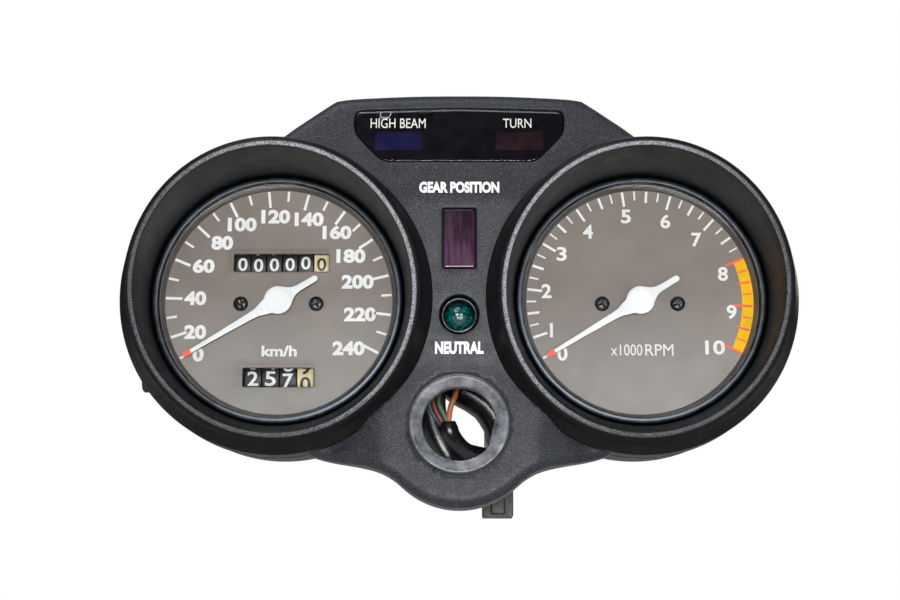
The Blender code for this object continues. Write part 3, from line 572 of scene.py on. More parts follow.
def fill(loops, keep, step):
    """Triangles over the area that keep() accepts, bounded by the loops, on a grid of the given step."""
    points, edges = [], []
    for loop in loops:
        first = len(points)
        points += [Vector(p) for p in loop]
        edges += [(first + i, first + (i + 1) % len(loop)) for i in range(len(loop))]
    rim = list(points)
    left, right = min(p.x for p in rim), max(p.x for p in rim)
    low, high = min(p.y for p in rim), max(p.y for p in rim)
    for row in range(int((high - low) / step) + 1):
        for column in range(int((right - left) / step) + 1):
            spot = Vector((left + (column + 0.5 * (row % 2)) * step, low + row * step))
            if keep(spot) and all((spot - p).length > step * 0.55 for p in rim):
                points.append(spot)
    vertices, _, triangles, _, _, _ = delaunay_2d_cdt(points, edges, [], 0, 1e-6)
    kept = [list(t) for t in triangles if keep(sum((vertices[i] for i in t), Vector((0.0, 0.0))) / 3)]
    return [tuple(v) for v in vertices], kept


def slab_mesh(outline, rings, depth_at=lambda x, z: 0.0):
    """A closed slab: (inset, depth) rings from the front face, over the edge, to the rear face."""
    points, faces = [], []
    count = len(outline)
    for distance, depth in rings:
        ring = inset(outline, distance) if distance else outline
        points += [(x, depth + depth_at(x, z), z) for x, z in ring]
    for level in range(len(rings) - 1):
        faces += band(level * count, (level + 1) * count, count)
    for level in (0, len(rings) - 1):
        loop = [(points[level * count + i][0], points[level * count + i][2]) for i in range(count)]
        reach = max(x for x, _ in loop) - min(x for x, _ in loop)
        vertices, triangles = fill([loop], lambda spot: inside(spot, loop), max(1.2, reach / 20))
        faces += [[len(points) + i for i in triangle] for triangle in triangles]
        points += [(x, rings[level][1] + depth_at(x, z), z) for x, z in vertices]
    return points, faces


def slab(name, outline, front, rear, look, at=(0.0, 0.0), edge=0.3, body="cluster", replaces=(),
         depth_at=lambda x, z: 0.0, side_look=None, flat=0.35):
    """A slab with a rounded front edge; flat is the ring kept level inside that edge."""
    turn = [(edge * (1 - math.sin(a)), front + edge * (1 - math.cos(a)))
            for a in (math.pi / 2 * k / 4 for k in range(5))]
    rings = ([(edge + flat, front)] if flat else []) + turn + [(0.0, rear)]
    points, faces = slab_mesh(outline, rings, depth_at)
    looks, kinds = [look], None
    if side_look:
        looks.append(side_look)
        walls = range(len(outline) * (len(rings) - 3), len(outline) * (len(rings) - 1))
        kinds = [1 if i in walls else 0 for i in range(len(faces))]
    return piece(name, points, faces, looks, body, (at[0], FACE_Y, at[1]), replaces, face_looks=kinds)


def smooth_route(points, step):
    """Samples along a curve through the points."""
    route = [Vector(p) for p in points]
    route = [2 * route[0] - route[1], *route, 2 * route[-1] - route[-2]]
    samples = []
    for a, b, c, d in zip(route, route[1:], route[2:], route[3:]):
        count = max(2, round((c - b).length / step))
        for i in range(count):
            t = i / count
            samples.append(0.5 * (2 * b + (c - a) * t + (2 * a - 5 * b + 4 * c - d) * t * t
                                  + (3 * b - a - 3 * c + d) * t ** 3))
    samples.append(route[-2])
    return samples


def tube(name, route, radius, look, replaces=(), sides=16, ripple=None):
    """A round tube along a smooth route in (x, depth, z), with domed ends."""
    samples = smooth_route(route, max(0.8, radius * 0.7))
    points, faces = [], []
    normal = Vector((1.0, 0.0, 0.0))
    for i, sample in enumerate(samples):
        ahead = (samples[min(i + 1, len(samples) - 1)] - samples[max(i - 1, 0)]).normalized()
        normal = (normal - ahead * normal.dot(ahead)).normalized()
        side = ahead.cross(normal)
        r = radius * (ripple(i) if ripple else 1.0)
        if i in (0, len(samples) - 1):
            r *= 0.75
        for k in range(sides):
            angle = 2.0 * math.pi * k / sides
            points.append(tuple(sample + (normal * math.cos(angle) + side * math.sin(angle)) * r))
    for i in range(len(samples) - 1):
        faces += band(i * sides, (i + 1) * sides, sides)
    for first, middle in ((0, samples[0]), ((len(samples) - 1) * sides, samples[-1])):
        points.append(tuple(middle))
        faces += [[first + k, first + (k + 1) % sides, len(points) - 1] for k in range(sides)]
    return piece(name, points, faces, look, at=(0.0, FACE_Y, 0.0), replaces=replaces)


def finer_copy(node, look, edge):
    """A CAD piece again, with its hard edges rounded."""
    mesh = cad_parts[node].data.copy()
    mesh.materials.clear()
    bm = bmesh.new()
    bm.from_mesh(mesh)
    bmesh.ops.remove_doubles(bm, verts=bm.verts, dist=1e-6)
    bmesh.ops.dissolve_limit(bm, angle_limit=math.radians(1.0), verts=bm.verts, edges=bm.edges)
    bm.to_mesh(mesh)
    bm.free()
    made = dress(f"{node}_fine", mesh, look, replaces=node)
    modifier = made.modifiers.new("edges", "BEVEL")
    modifier.width = edge * MM
    modifier.segments = 2
    modifier.limit_method = "ANGLE"
    modifier.angle_limit = math.radians(40.0)
    modifier.harden_normals = True
    return made


def text_mesh(text, weight, width, height):
    """Points (x, z, rise 0 or 1) and faces of a line of text, fitted into a box around the origin."""
    curve = bpy.data.curves.new("text", "FONT")
    curve.body = text
    curve.size = 1.0
    curve.offset = weight
    curve.extrude = 0.05
    curve.resolution_u = 4
    holder = bpy.data.objects.new("text", curve)
    bpy.context.scene.collection.objects.link(holder)
    mesh = bpy.data.meshes.new_from_object(holder.evaluated_get(bpy.context.evaluated_depsgraph_get()))
    spots = [v.co.copy() for v in mesh.vertices]
    faces = [list(p.vertices) for p in mesh.polygons]
    bpy.data.objects.remove(holder)
    bpy.data.curves.remove(curve)
    bpy.data.meshes.remove(mesh)
    low = [min(s[k] for s in spots) for k in (0, 1)]
    high = [max(s[k] for s in spots) for k in (0, 1)]
    wide = width / (high[0] - low[0]) if width else height / (high[1] - low[1])
    tall = height / (high[1] - low[1])
    points = [((s.x - (low[0] + high[0]) / 2) * wide, (s.y - (low[1] + high[1]) / 2) * tall,
               1.0 if s.z > 0 else 0.0) for s in spots]
    return points, faces


def print_marks(name, marks, depth_at, thickness, look, hub=0.0):
    """One raised-print piece from marks, each (points with rise, faces, centre x, centre z)."""
    points, faces = [], []
    for spots, shapes, x, z in marks:
        first = len(points)
        for px, pz, rise in spots:
            points.append((px + x, depth_at(px + x, pz + z) - rise * thickness, pz + z))
        faces += [[first + i for i in shape] for shape in shapes]
    return piece(name, points, faces, look, at=(hub, FACE_Y, 0.0))


def bar_mark(start, end, width):
    """A tick mark between two points, as (points, faces, x, z)."""
    along = (Vector(end) - Vector(start)).normalized()
    side = Vector((-along.y, along.x)) * width / 2
    corners = [Vector(start) + side, Vector(start) - side, Vector(end) - side, Vector(end) + side]
    spots = [(c.x, c.y, rise) for rise in (0.0, 1.0) for c in corners]
    shapes = [[0, 1, 2, 3], [4, 5, 6, 7]] + [[i, (i + 1) % 4, 4 + (i + 1) % 4, 4 + i] for i in range(4)]
    return spots, shapes, 0.0, 0.0


# ---------------------------------------------------------------- front case

def crease_depth(z):
    """Depth of the creased panel at a height, before softening."""
    heights = [crease[0] for crease in CREASES]
    z = min(heights[0], max(heights[-1], z))
    for (top, top_depth), (bottom, bottom_depth) in zip(CREASES, CREASES[1:]):
        if z >= bottom:
            return top_depth + (bottom_depth - top_depth) * (top - z) / (top - bottom)
    return CREASES[-1][1]


def fade(value):
    """A smooth step from 0 to 1."""
    value = min(1.0, max(0.0, value))
    return value * value * (3.0 - 2.0 * value)


def panel_face(x, z):
    """Depth of the panel's front: three planes with softened creases, falling back below the hoods."""
    spread = [-1.0, -0.5, 0.0, 0.5, 1.0]
    depth = sum(crease_depth(z + t * CREASE_SOFTNESS) for t in spread) / len(spread)
    return depth + 9.0 * fade((abs(x) - 26.0) / 24.0) * fade((-z - 30.0) / 22.0)


def on_panel(offset):
    return lambda x, z: panel_face(x, z) + offset


def panel_outline():
    """The panel between the hoods, anticlockwise from the bottom of the boss."""
    right = arc((0.0, BOSS_Z), BOSS_R, -90.0, -48.0, 9)
    right += [(24.6, -65.4), (30.0, -62.6), (38.0, -60.8), (48.0, -59.3), (57.0, -56.5), (60.0, -48.0)]
    right += [(60.0, -26.0), (60.0, 37.0), (60.0, 44.0), (68.0, 46.0), (77.0, 52.5), (64.0, 63.8),
              (56.0, 69.6), (48.5, 75.0), (45.0, 77.2), (22.0, 78.4), (11.0, 78.65)]
    left = [(-x, z) for x, z in reversed(right[1:])]
    outline = right + [(0.0, 78.7)] + left
    for _ in range(2):      # corner cutting
        cut = []
        for here, there in zip(outline, outline[1:] + outline[:1]):
            cut += [tuple(Vector(here).lerp(Vector(there), t)) for t in (0.25, 0.75)]
        outline = cut
    return spaced(outline, 2.2)


def near_hub(x, z, radius):
    return any(math.hypot(x - hub, z) < radius for hub in HUBS.values())


def panel_holes():
    half, low, high = GEAR_WINDOW
    return {
        "window": spaced(rounded(WINDOW, 3.2, True, 5), 2.0),
        "gear": spaced(rounded(box_outline(half, low, high), 0.7, True, 3), 1.5),
        "neutral": circle((0.0, NEUTRAL_Z), NEUTRAL_R, 56),
        "switch": circle((0.0, BOSS_Z), SEAT_R, 96),
    }


def make_panel():
    """The creased panel with its rounded outer edge and the lips of its openings."""
    outline = panel_outline()
    holes = panel_holes()
    points, faces = [], []

    def strip(rings, skip=lambda i: False):
        firsts = []
        for ring in rings:
            firsts.append(len(points))
            points.extend(ring)
        for a, b in zip(firsts, firsts[1:]):
            faces.extend(quad for i, quad in enumerate(band(a, b, len(rings[0]))) if not skip(i))

    def ring_at(loop, distance, offset):
        return [(x, panel_face(x, z) + offset, z) for x, z in (inset(loop, distance) if distance else loop)]

    top_loop = inset(outline, EDGE)
    rims = {name: inset(loop, -0.45) if name != "switch" else loop for name, loop in holes.items()}
    seats = [circle((hub, 0.0), HOOD_SEAT_R, 120) for hub in HUBS.values()]

    def keep(spot):
        return (inside(spot, top_loop) and not near_hub(spot[0], spot[1], HOOD_SEAT_R)
                and not any(inside(spot, rim) for rim in rims.values()))

    flat, triangles = fill([top_loop, *rims.values(), *seats], keep, 2.0)
    first = len(points)
    points.extend((x, panel_face(x, z), z) for x, z in flat)
    faces.extend([first + i for i in triangle] for triangle in triangles)

    turn = [math.pi / 2 * k / 8 for k in range(9)]
    edge = [ring_at(outline, EDGE * (1 - math.sin(a)), EDGE * (1 - math.cos(a))) for a in turn]
    edge.append([(x, CASE_REAR - 0.5, z) for x, z in outline])
    strip(edge, lambda i: near_hub(*outline[i], HOOD_SEAT_R - 2.5))
    for name, loop in holes.items():
        if name == "switch":
            continue
        lip = [ring_at(loop, -0.45 * (1 - math.sin(a)), 0.45 * (1 - math.cos(a))) for a in turn[::2]]
        strip(lip + [ring_at(loop, 0.0, 3.4)])

    mesh = bpy.data.meshes.new("case_panel")
    mesh.from_pydata([(x * MM, (y + FACE_Y) * MM, z * MM) for x, y, z in points], [], faces)
    bm = bmesh.new()
    bm.from_mesh(mesh)
    bmesh.ops.remove_doubles(bm, verts=bm.verts, dist=2e-6)
    bmesh.ops.delete(bm, geom=[v for v in bm.verts if not v.link_faces], context="VERTS")
    bmesh.ops.recalc_face_normals(bm, faces=bm.faces)
    if sum(f.normal.y * f.calc_area() for f in bm.faces) > 0:
        bmesh.ops.reverse_faces(bm, faces=bm.faces)
    bm.to_mesh(mesh)
    bm.free()
    mesh.materials.append(LOOK["grained"])
    mesh.shade_smooth()
    mesh.set_sharp_from_angle(angle=math.radians(50))
    panel = bpy.data.objects.new("case_panel", mesh)
    bpy.context.scene.collection.objects.link(panel)
    modifier = panel.modifiers.new("wall", "SOLIDIFY")
    modifier.thickness = WALL * 0.5 * MM
    modifier.offset = -1.0
    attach(panel, "cluster")
    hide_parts("front_case")


def make_switch_seat():
    """The worn countersunk seat around the ignition-switch hole, with the flat that keys the switch."""
    levels = ((SEAT_R, 0.0), (18.12, 0.40), (17.95, 0.42), (17.75, 0.06), (17.4, -0.02), (16.9, 0.08),
              (14.6, 0.98), (14.0, 1.14), (13.62, 1.34), (SWITCH_R, 1.7), (SWITCH_R, 6.2), (15.2, 6.4),
              (17.2, 4.4), (SEAT_R, 2.2))
    steps = 192
    points, faces, kinds = [], [], []
    for radius, depth in levels:
        for i in range(steps):
            angle = 2.0 * math.pi * i / steps
            reach = radius
            if radius < 17.0 and 0.0 < depth < 6.3:
                facing = math.cos(angle - SWITCH_FLAT_ANGLE)
                if facing > 0.2:
                    reach = min(radius, (SWITCH_FLAT + radius - SWITCH_R) / facing)
            x, z = reach * math.cos(angle), BOSS_Z + reach * math.sin(angle)
            points.append((x, depth + panel_face(x, z), z))
    for level in range(len(levels)):
        faces += band(level * steps, (level + 1) % len(levels) * steps, steps)
        kinds += [0 if 2 <= level <= 8 else 1] * steps
    piece("switch_seat", points, faces, ["seat", "mask"], at=(0.0, FACE_Y, 0.0),
          face_looks=kinds)


def make_hood(gauge):
    """A slanted visor and its skirt. Rings are (radius, share of visor depth, depth)."""
    hub = HUBS[gauge]
    corners = ((50.0, 1.0, 0.7), (50.3, 1.0, 0.0), (51.7, 1.0, 0.34), (53.1, 1.0, 1.2), (53.9, 1.0, 3.0),
               (57.6, 0.1, 0.0), (57.6, 0.0, 1.6), (57.6, 0.0, 11.6), (57.25, 0.0, 12.0),
               (57.25, 0.0, 12.8), (57.6, 0.0, 13.2), (57.6, 0.0, CASE_REAR), (54.8, 0.0, CASE_REAR),
               (54.8, 0.0, 3.3), (46.9, 0.0, 3.3), (46.9, 0.0, 0.0), (48.1, 0.4, 0.0), (49.1, 0.75, 0.1))
    rings = rounded([Vector(c) for c in corners], 0.7, True, 4)
    steps = 192
    points, faces, kinds, wear_and_highlight = [], [], [], []
    for radius, share, depth in rings:
        for i in range(steps):
            angle = 2.0 * math.pi * i / steps
            x, z = radius * math.cos(angle), radius * math.sin(angle)
            points.append((x, depth - share * (HOOD_DEPTH + HOOD_SLOPE * z), z))
            on_rim = share > 0.9 and depth < 1.4
            # The light crest on the rim: worn grain, brighter towards the middle of the cluster and towards
            # the top as a painted highlight.
            crest = fade((radius - 50.05) / 0.3) * fade((51.9 - radius) / 0.5) if on_rim else 0.0
            towards_middle = -math.copysign(x, x * hub) / radius
            wear_and_highlight.append(crest * (0.35 + 0.65 * fade((0.8 * towards_middle + 0.5 * z / radius + 0.5) / 1.2)))
    for level in range(len(rings)):
        following = (level + 1) % len(rings)
        faces += band(level * steps, following * steps, steps)
        kinds += [1 if max(rings[level][0], rings[following][0]) < 50.2 else 0] * steps
    hood = piece(f"{gauge}_hood", points, faces, ["hood", "hood_inside"], at=(hub, FACE_Y, 0.0),
                 face_looks=kinds, smooth=50.0)
    attribute = hood.data.attributes.new("wear_and_highlight", "FLOAT", "POINT")
    attribute.data.foreach_set("value", wear_and_highlight)


# ---------------------------------------------------------------- lamps and windows

def make_warning_window():
    """The smoked cover, the mask and the ribbed filters behind it, and the words printed on it."""
    window = panel_holes()["window"]
    slab("warning_lens_cover", inset(window, 0.35), 0.45, 2.5, "smoked", depth_at=panel_face, edge=0.5,
         replaces="warning_lens")
    half, tall = FILTER
    panes = {node: box_outline(half, LAMP_Z - tall, LAMP_Z + tall, centre(node, X))
             for node in ("high_beam_filter", "turn_filter")}
    masks = [spaced(pane, 2.0) for pane in panes.values()]
    rim = inset(window, 0.6)

    def keep(spot):
        return inside(spot, rim) and not any(inside(spot, mask) for mask in masks)

    flat, triangles = fill([rim, *masks], keep, 4.0)
    points = [(x, panel_face(x, z) + depth, z) for depth in (2.72, 2.92) for x, z in flat]
    faces = [list(t) for t in triangles] + [[len(flat) + i for i in t] for t in triangles]
    piece("lamp_mask", points, faces, "mask", at=(0.0, FACE_Y, 0.0))

    def ribs(x, z):
        return panel_face(x, z) + 0.12 * math.cos(z * 2.0 * math.pi / 1.4)

    for node, look, slot in (("high_beam_filter", "blue", "blue_filter"),
                             ("turn_filter", "red", "red_filter")):
        slab(f"{node}_ribbed", spaced(panes[node], 1.5), 3.1, 4.1, look, depth_at=ribs, edge=0.25,
             replaces=node)
    for name, text, width, height, x in (("high_beam_legend", "HIGH BEAM", 20.6, 3.9, -22.9),
                                         ("turn_legend", "TURN", 10.6, 3.7, 21.7)):
        spots, shapes = text_mesh(text, 0.0, width, height)
        print_marks(name, [(spots, shapes, x, 66.8)], on_panel(0.44), 0.06, "legend_aged")


def make_gear_window():
    """The purple pane, and the raised words above it and below the neutral lamp."""
    half, low, high = GEAR_WINDOW
    pane = spaced(rounded(box_outline(half - 0.4, low + 0.4, high - 0.4), 0.8, True, 3), 1.5)
    slab("gear_window_pane", pane, 0.35, 2.5, "purple", depth_at=panel_face, edge=0.55,
         replaces="gear_window_lens")
    for name, text, width, height, z in (("gear_legend", "GEAR POSITION", 29.6, 4.4, 41.1),
                                         ("neutral_legend", "NEUTRAL", 17.7, 4.6, -18.7)):
        spots, shapes = text_mesh(text, 0.045, width, height)
        print_marks(name, [(spots, shapes, 0.0, z)], on_panel(0.02), 0.22, "legend")


def make_neutral_lamp():
    at = (0.0, 0.0, NEUTRAL_Z)
    ring = ((5.45, 0.4), (5.6, -0.7), (6.2, -1.1), (6.85, -0.5), (6.9, 6.0), (5.5, 6.0))
    turned("neutral_lamp_ring", ring, "lamp_ring", at, replaces="neutral_lamp_bezel",
           hollow=True, radius=0.4)
    lens = ((0.0, -0.7), (1.2, -0.62), (2.4, -0.3), (3.6, 0.35), (4.6, 1.3), (5.1, 2.2), (5.1, 8.4),
            (0.0, 8.4))
    turned("neutral_lens_dome", lens, "teal", at, replaces="neutral_lens", radius=0.5)
    holder = ((0.0, 8.9), (4.6, 8.9), (4.6, 11.0), (6.6, 11.0), (6.6, 12.6), (5.0, 12.6), (4.6, 26.0),
              (0.0, 26.0))
    turned("neutral_bulb_holder", holder, "rubber", at, replaces="bulb_holder_neutral",
           radius=0.5)


def make_lamp_box():
    finer_copy("lamp_housing", "pale", 0.5)
    finer_copy("gear_display_module", "connector", 0.4)
    boot = ((0.0, 12.0), (2.4, 12.4), (3.6, 14.4), (3.6, 20.0), (5.5, 20.0), (5.5, 24.4), (7.2, 24.4),
            (7.2, 26.0), (5.0, 26.0), (4.8, 29.0), (5.1, 30.0), (4.7, 31.0), (5.0, 32.0), (4.6, 33.0),
            (4.6, 35.0), (0.0, 35.0))
    for lamp in ("high_beam", "turn"):
        node = f"bulb_holder_{lamp}"
        turned(f"{node}_boot", boot, "rubber", (centre(f"{lamp}_filter", X), 0.0, LAMP_Z), replaces=node,
               radius=0.5)


# ---------------------------------------------------------------- gauges

def mark_angle(step, count):
    """Direction of a scale mark; step 0 is the zero mark, and the scale is even from step 1 on."""
    if step == 0:
        return math.radians(ZERO)
    return math.radians(FIRST + (LAST - FIRST) * (step - 1) / (count - 1))


def tick(angle, inner, outer, width):
    along = Vector((math.cos(angle), math.sin(angle)))
    return bar_mark(along * outer, along * inner, width)


SPEED_NUMERALS = (("0", -29.4, -19.9), ("20", -30.7, -11.5), ("40", -31.0, 1.2), ("60", -28.2, 13.4),
                  ("80", -21.5, 22.2), ("100", -14.2, 29.2), ("120", -1.7, 32.2), ("140", 10.8, 31.2),
                  ("160", 21.3, 26.2), ("180", 26.6, 17.2), ("200", 29.2, 7.4), ("220", 30.2, -4.9),
                  ("240", 26.1, -17.6))
REV_NUMERALS = (("0", -28.9, -19.6), ("1", -32.9, -10.8), ("2", -34.6, 3.9), ("3", -28.8, 18.0),
                ("4", -18.9, 26.5), ("5", -4.6, 32.3), ("6", 10.1, 30.4), ("7", 21.6, 23.4),
                ("8", 31.1, 10.4), ("9", 34.0, -4.0), ("10", 27.5, -17.3))


def flat_at(depth):
    return lambda x, z: depth


def make_speed_scale():
    """Marks every 10 km/h, the numerals and the unit."""
    marks = [tick(mark_angle(0, 12), 36.8, TICK_R, 0.85)]
    for step in range(1, 13):
        marks.append(tick(mark_angle(step, 12), 35.8, TICK_R, 1.0))
        if step < 12:
            marks.append(tick(mark_angle(step + 0.5, 12), 38.1, TICK_R, 0.85))
    for text, x, z in SPEED_NUMERALS:
        width = (4.1, 8.1, 10.8 if text.startswith("1") else 11.9)[len(text) - 1]
        spots, shapes = text_mesh(text, 0.045, width, 5.3)
        marks.append((spots, shapes, x, z))
    spots, shapes = text_mesh("km/h", 0.03, 13.0, 4.1)
    marks.append((spots, shapes, 0.5, -18.6))
    print_marks("speedometer_scale", marks, flat_at(DIAL_DEPTH - 0.02), 0.07, "legend", HUBS["speedometer"])


def make_rev_scale():
    """White marks every quarter of 1000 r/min, then red ones on the amber band."""
    hub = HUBS["tachometer"]
    white, red = [tick(mark_angle(0, 10), 37.4, TICK_R, 0.8)], []
    for quarter in range(4, 32):
        inner, width = {0: (36.4, 0.9), 2: (37.6, 0.9)}.get(quarter % 4, (38.5, 0.6))
        white.append(tick(mark_angle(quarter / 4, 10), inner, TICK_R, width))
    for quarter in range(32, 41):
        inner, width = {0: (34.9, 0.95), 2: (37.0, 0.8)}.get(quarter % 4, (38.3, 0.55))
        red.append(tick(mark_angle(quarter / 4, 10), inner, TICK_R, width))
    for text, x, z in REV_NUMERALS:
        spots, shapes = text_mesh(text, 0.025, {"1": None, "10": 7.3}.get(text, 3.7), 5.3)
        white.append((spots, shapes, x, z))
    for text, width, x in (("x1000", 11.6, -5.2), ("RPM", 10.4, 6.9)):
        spots, shapes = text_mesh(text, 0.0, width, 4.2)
        white.append((spots, shapes, x, -18.2))
    print_marks("tachometer_scale", white, flat_at(DIAL_DEPTH - 0.02), 0.07, "legend", hub)
    start, end = math.degrees(mark_angle(8, 10)), math.degrees(mark_angle(10, 10))
    outline = arc((0.0, 0.0), TICK_R + 0.3, start, end, 40) + arc((0.0, 0.0), 38.0, end, start, 40)
    points, faces = slab_mesh(outline[::-1], ((0.0, DIAL_DEPTH - 0.05), (0.0, DIAL_DEPTH - 0.01)))
    piece("tachometer_amber_band", points, faces, "amber", at=(hub, FACE_Y, 0.0))
    print_marks("tachometer_red_marks", red, flat_at(DIAL_DEPTH - 0.05), 0.05, "scarlet", hub)


def make_dial(gauge, windows):
    """The dial plate with a pressed lip around each counter window, and its conical rim."""
    hub = HUBS[gauge]
    rim = circle((0.0, 0.0), 42.2, 128)
    holes = [circle((0.0, 0.0), 1.4, 24)]
    holes += [circle((side * DIAL_SCREW[0], DIAL_SCREW[1]), 1.5, 24) for _, side in SIDES]
    panes = [spaced(rounded(box_outline(half, z - tall, z + tall, x), 0.4, True, 2), 2.0)
             for x, z, half, tall in windows]
    holes += [inset(pane, -1.1) for pane in panes]

    def keep(spot):
        return math.hypot(*spot) < 42.19 and not any(inside(spot, hole) for hole in holes)

    flat, triangles = fill([rim, *holes], keep, 3.0)
    points = [(x, DIAL_DEPTH, z) for x, z in flat] + [(x, DIAL_DEPTH + 0.7, z) for x, z in flat]
    faces = [list(t) for t in triangles] + [[len(flat) + i for i in t] for t in triangles]
    for pane in panes:
        firsts = []
        for distance, depth in ((-1.1, 0.0), (-0.8, -0.16), (-0.45, -0.18), (-0.15, 0.0), (0.0, 0.35),
                                (0.0, 1.3)):
            firsts.append(len(points))
            points += [(x, DIAL_DEPTH + depth, z) for x, z in (inset(pane, distance) if distance else pane)]
        for a, b in zip(firsts, firsts[1:]):
            faces += band(a, b, len(pane))
    piece(f"{gauge}_dial_face", points, faces, "dial", at=(hub, FACE_Y, 0.0), replaces=f"{gauge}_dial")
    # The conical rim wears a darker copy of the dial's paint: painted shade.
    profile = ((42.15, DIAL_DEPTH + 0.1), (42.25, DIAL_DEPTH - 0.1), (43.35, RIM_DEPTH), (43.75, RIM_DEPTH),
               (43.7, DIAL_DEPTH + 0.8), (42.0, DIAL_DEPTH + 0.8))
    turned(f"{gauge}_dial_rim", profile, "rim", (hub, 0.0, 0.0), hollow=True,
           radius=0.15, steps=128)


def make_bezel(gauge):
    """The metal ring, the gasket behind it and the glass."""
    hub = (HUBS[gauge], 0.0, 0.0)
    profile = ((43.8, 0.6), (43.95, 0.15), (44.35, 0.0), (45.3, 0.1), (46.0, 0.45), (46.4, 1.2),
               (46.4, 8.0), (45.6, 8.0), (45.6, 0.8), (43.8, 0.8))
    turned(f"{gauge}_bezel_ring", profile, "bezel", hub, replaces=f"{gauge}_bezel",
           hollow=True, steps=160, radius=0.25)
    gasket = ((44.0, GLASS[1] + 0.3), (45.2, GLASS[1] + 0.2), (45.2, 5.1), (44.0, 5.1))
    turned(f"{gauge}_gasket_ring", gasket, "rubber", hub, replaces=f"{gauge}_gasket",
           hollow=True, steps=128, radius=0.15)
    front, rear = GLASS
    pane = ((0.0, front), (43.6, front), (44.7, front), (45.0, front + 0.3), (45.0, rear - 0.3),
            (44.7, rear), (43.6, rear), (0.0, rear))
    turned(f"{gauge}_glass_pane", pane, "glass", hub, replaces=f"{gauge}_glass",
           steps=128, radius=0.1)


def needle_outline():
    """The needle along +X: a tapering arm, filleted into its disc, and a round-ended tail."""
    arm = [(40.0, 0.0), (39.85, 0.45), (39.3, 0.65), (35.5, 0.76), (24.0, 1.0), (12.0, 1.34), (9.0, 1.6),
           (6.6, 2.4)]
    disc = arc((0.0, 0.0), 5.25, 36.0, 140.0, 14)
    tail = [(-5.6, 2.2), (-7.0, 1.55), (-9.0, 1.25), (-13.0, 1.2)] + arc((-15.6, 0.0), 1.2, 90.0, 180.0, 6)
    upper = arm + disc + tail
    return upper + [(x, -z) for x, z in reversed(upper[1:-1])]


def make_needle(gauge):
    """The white pointer with dark sides, its red tip and the disc over the spindle."""
    hub, body, face = HUBS[gauge], f"{gauge}_needle", NEEDLE[0]
    turn = math.radians(NEEDLE_ZERO)

    def at_zero(outline):
        return [(x * math.cos(turn) - z * math.sin(turn), x * math.sin(turn) + z * math.cos(turn))
                for x, z in outline]

    slab(f"{gauge}_pointer", at_zero(needle_outline()), face + 0.25, face + 1.6, "needle", (hub, 0.0),
         0.2, body, f"{gauge}_needle", side_look="needle_side", flat=0.0)
    tip = [(39.95, -0.52), (39.4, -0.78), (37.3, -0.9), (37.3, 0.9), (39.4, 0.78), (39.95, 0.52),
           (40.1, 0.0)]
    slab(f"{gauge}_pointer_tip", at_zero(tip), face + 0.2, face + 1.65, "scarlet", (hub, 0.0), 0.2, body,
         flat=0.0)
    disc = [(0.0, face), (3.6, face + 0.02), (4.7, face + 0.12), (5.15, face + 0.4), (5.2, face + 0.8),
            (5.2, NEEDLE[1]), (0.0, NEEDLE[1])]
    turned(f"{gauge}_pointer_disc", disc, "needle", (hub, 0.0, 0.0), body, radius=0.3)


def make_screw(name, centre, head_r, face, rear, look, replaces=(), faces_front=True):
    """A domed screw head with a cross recess, shaped ring by ring."""
    sign = 1.0 if faces_front else -1.0
    steps, levels, turn = 72, 26, 0.5
    arm, half = head_r * 0.62, head_r * 0.13

    def rim_point(radius, i):
        angle = 2.0 * math.pi * i / steps + turn
        return radius * math.cos(angle), radius * math.sin(angle)

    def recess(x, z):
        u = x * math.cos(turn) + z * math.sin(turn)
        v = z * math.cos(turn) - x * math.sin(turn)
        return max(fade((half - abs(p)) / 0.14 + 0.5) * fade((arm - abs(q)) / 0.25 + 0.3)
                   for p, q in ((u, v), (v, u)))

    points = [(0.0, face + sign * head_r * 0.42, 0.0)]
    for level in range(1, levels + 1):
        share = level / levels
        for i in range(steps):
            x, z = rim_point(head_r * share, i)
            sunk = 0.30 * head_r * share ** 4 + recess(x, z) * head_r * 0.34 * (1.0 - share)
            points.append((x, face + sign * sunk, z))
    faces = [[0, 1 + i, 1 + (i + 1) % steps] for i in range(steps)]
    for level in range(levels):
        faces += band(1 + level * steps, 1 + (level + 1) * steps, steps)
    for i in range(steps):
        x, z = rim_point(head_r, i)
        points.append((x, rear, z))
    faces.append([1 + levels * steps + i for i in range(steps)])
    return piece(name, points, faces, look, at=(centre[0], FACE_Y, centre[1]), replaces=replaces)


def make_can(gauge):
    """Materials for what the covers hide, and the cable socket's thread and nut."""
    hub = (HUBS[gauge], 0.0, 0.0)
    for part, look in (("can", "alloy"), ("movement_frame", "zinc"), ("spindle", "alloy"),
                       ("drive_shaft", "steel")):
        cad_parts[f"{gauge}_{part}"].data.materials[0] = LOOK[look]
    profile = [(6.6, 73.6)]
    for turn in range(9):
        along = 74.0 + turn * 1.25
        profile += [(7.15, along), (7.6, along + 0.45), (7.6, along + 0.65), (7.15, along + 1.1)]
    profile.append((6.6, 85.6))
    turned(f"{gauge}_socket_thread", profile, "alloy", hub, hollow=True, radius=0.1)
    nut = ((7.1, 61.2), (9.4, 61.2), (9.4, 65.6), (7.1, 65.6))
    turned(f"{gauge}_socket_nut", nut, "alloy", hub, hollow=True, radius=0.4,
           warp=hexagon(8.5))


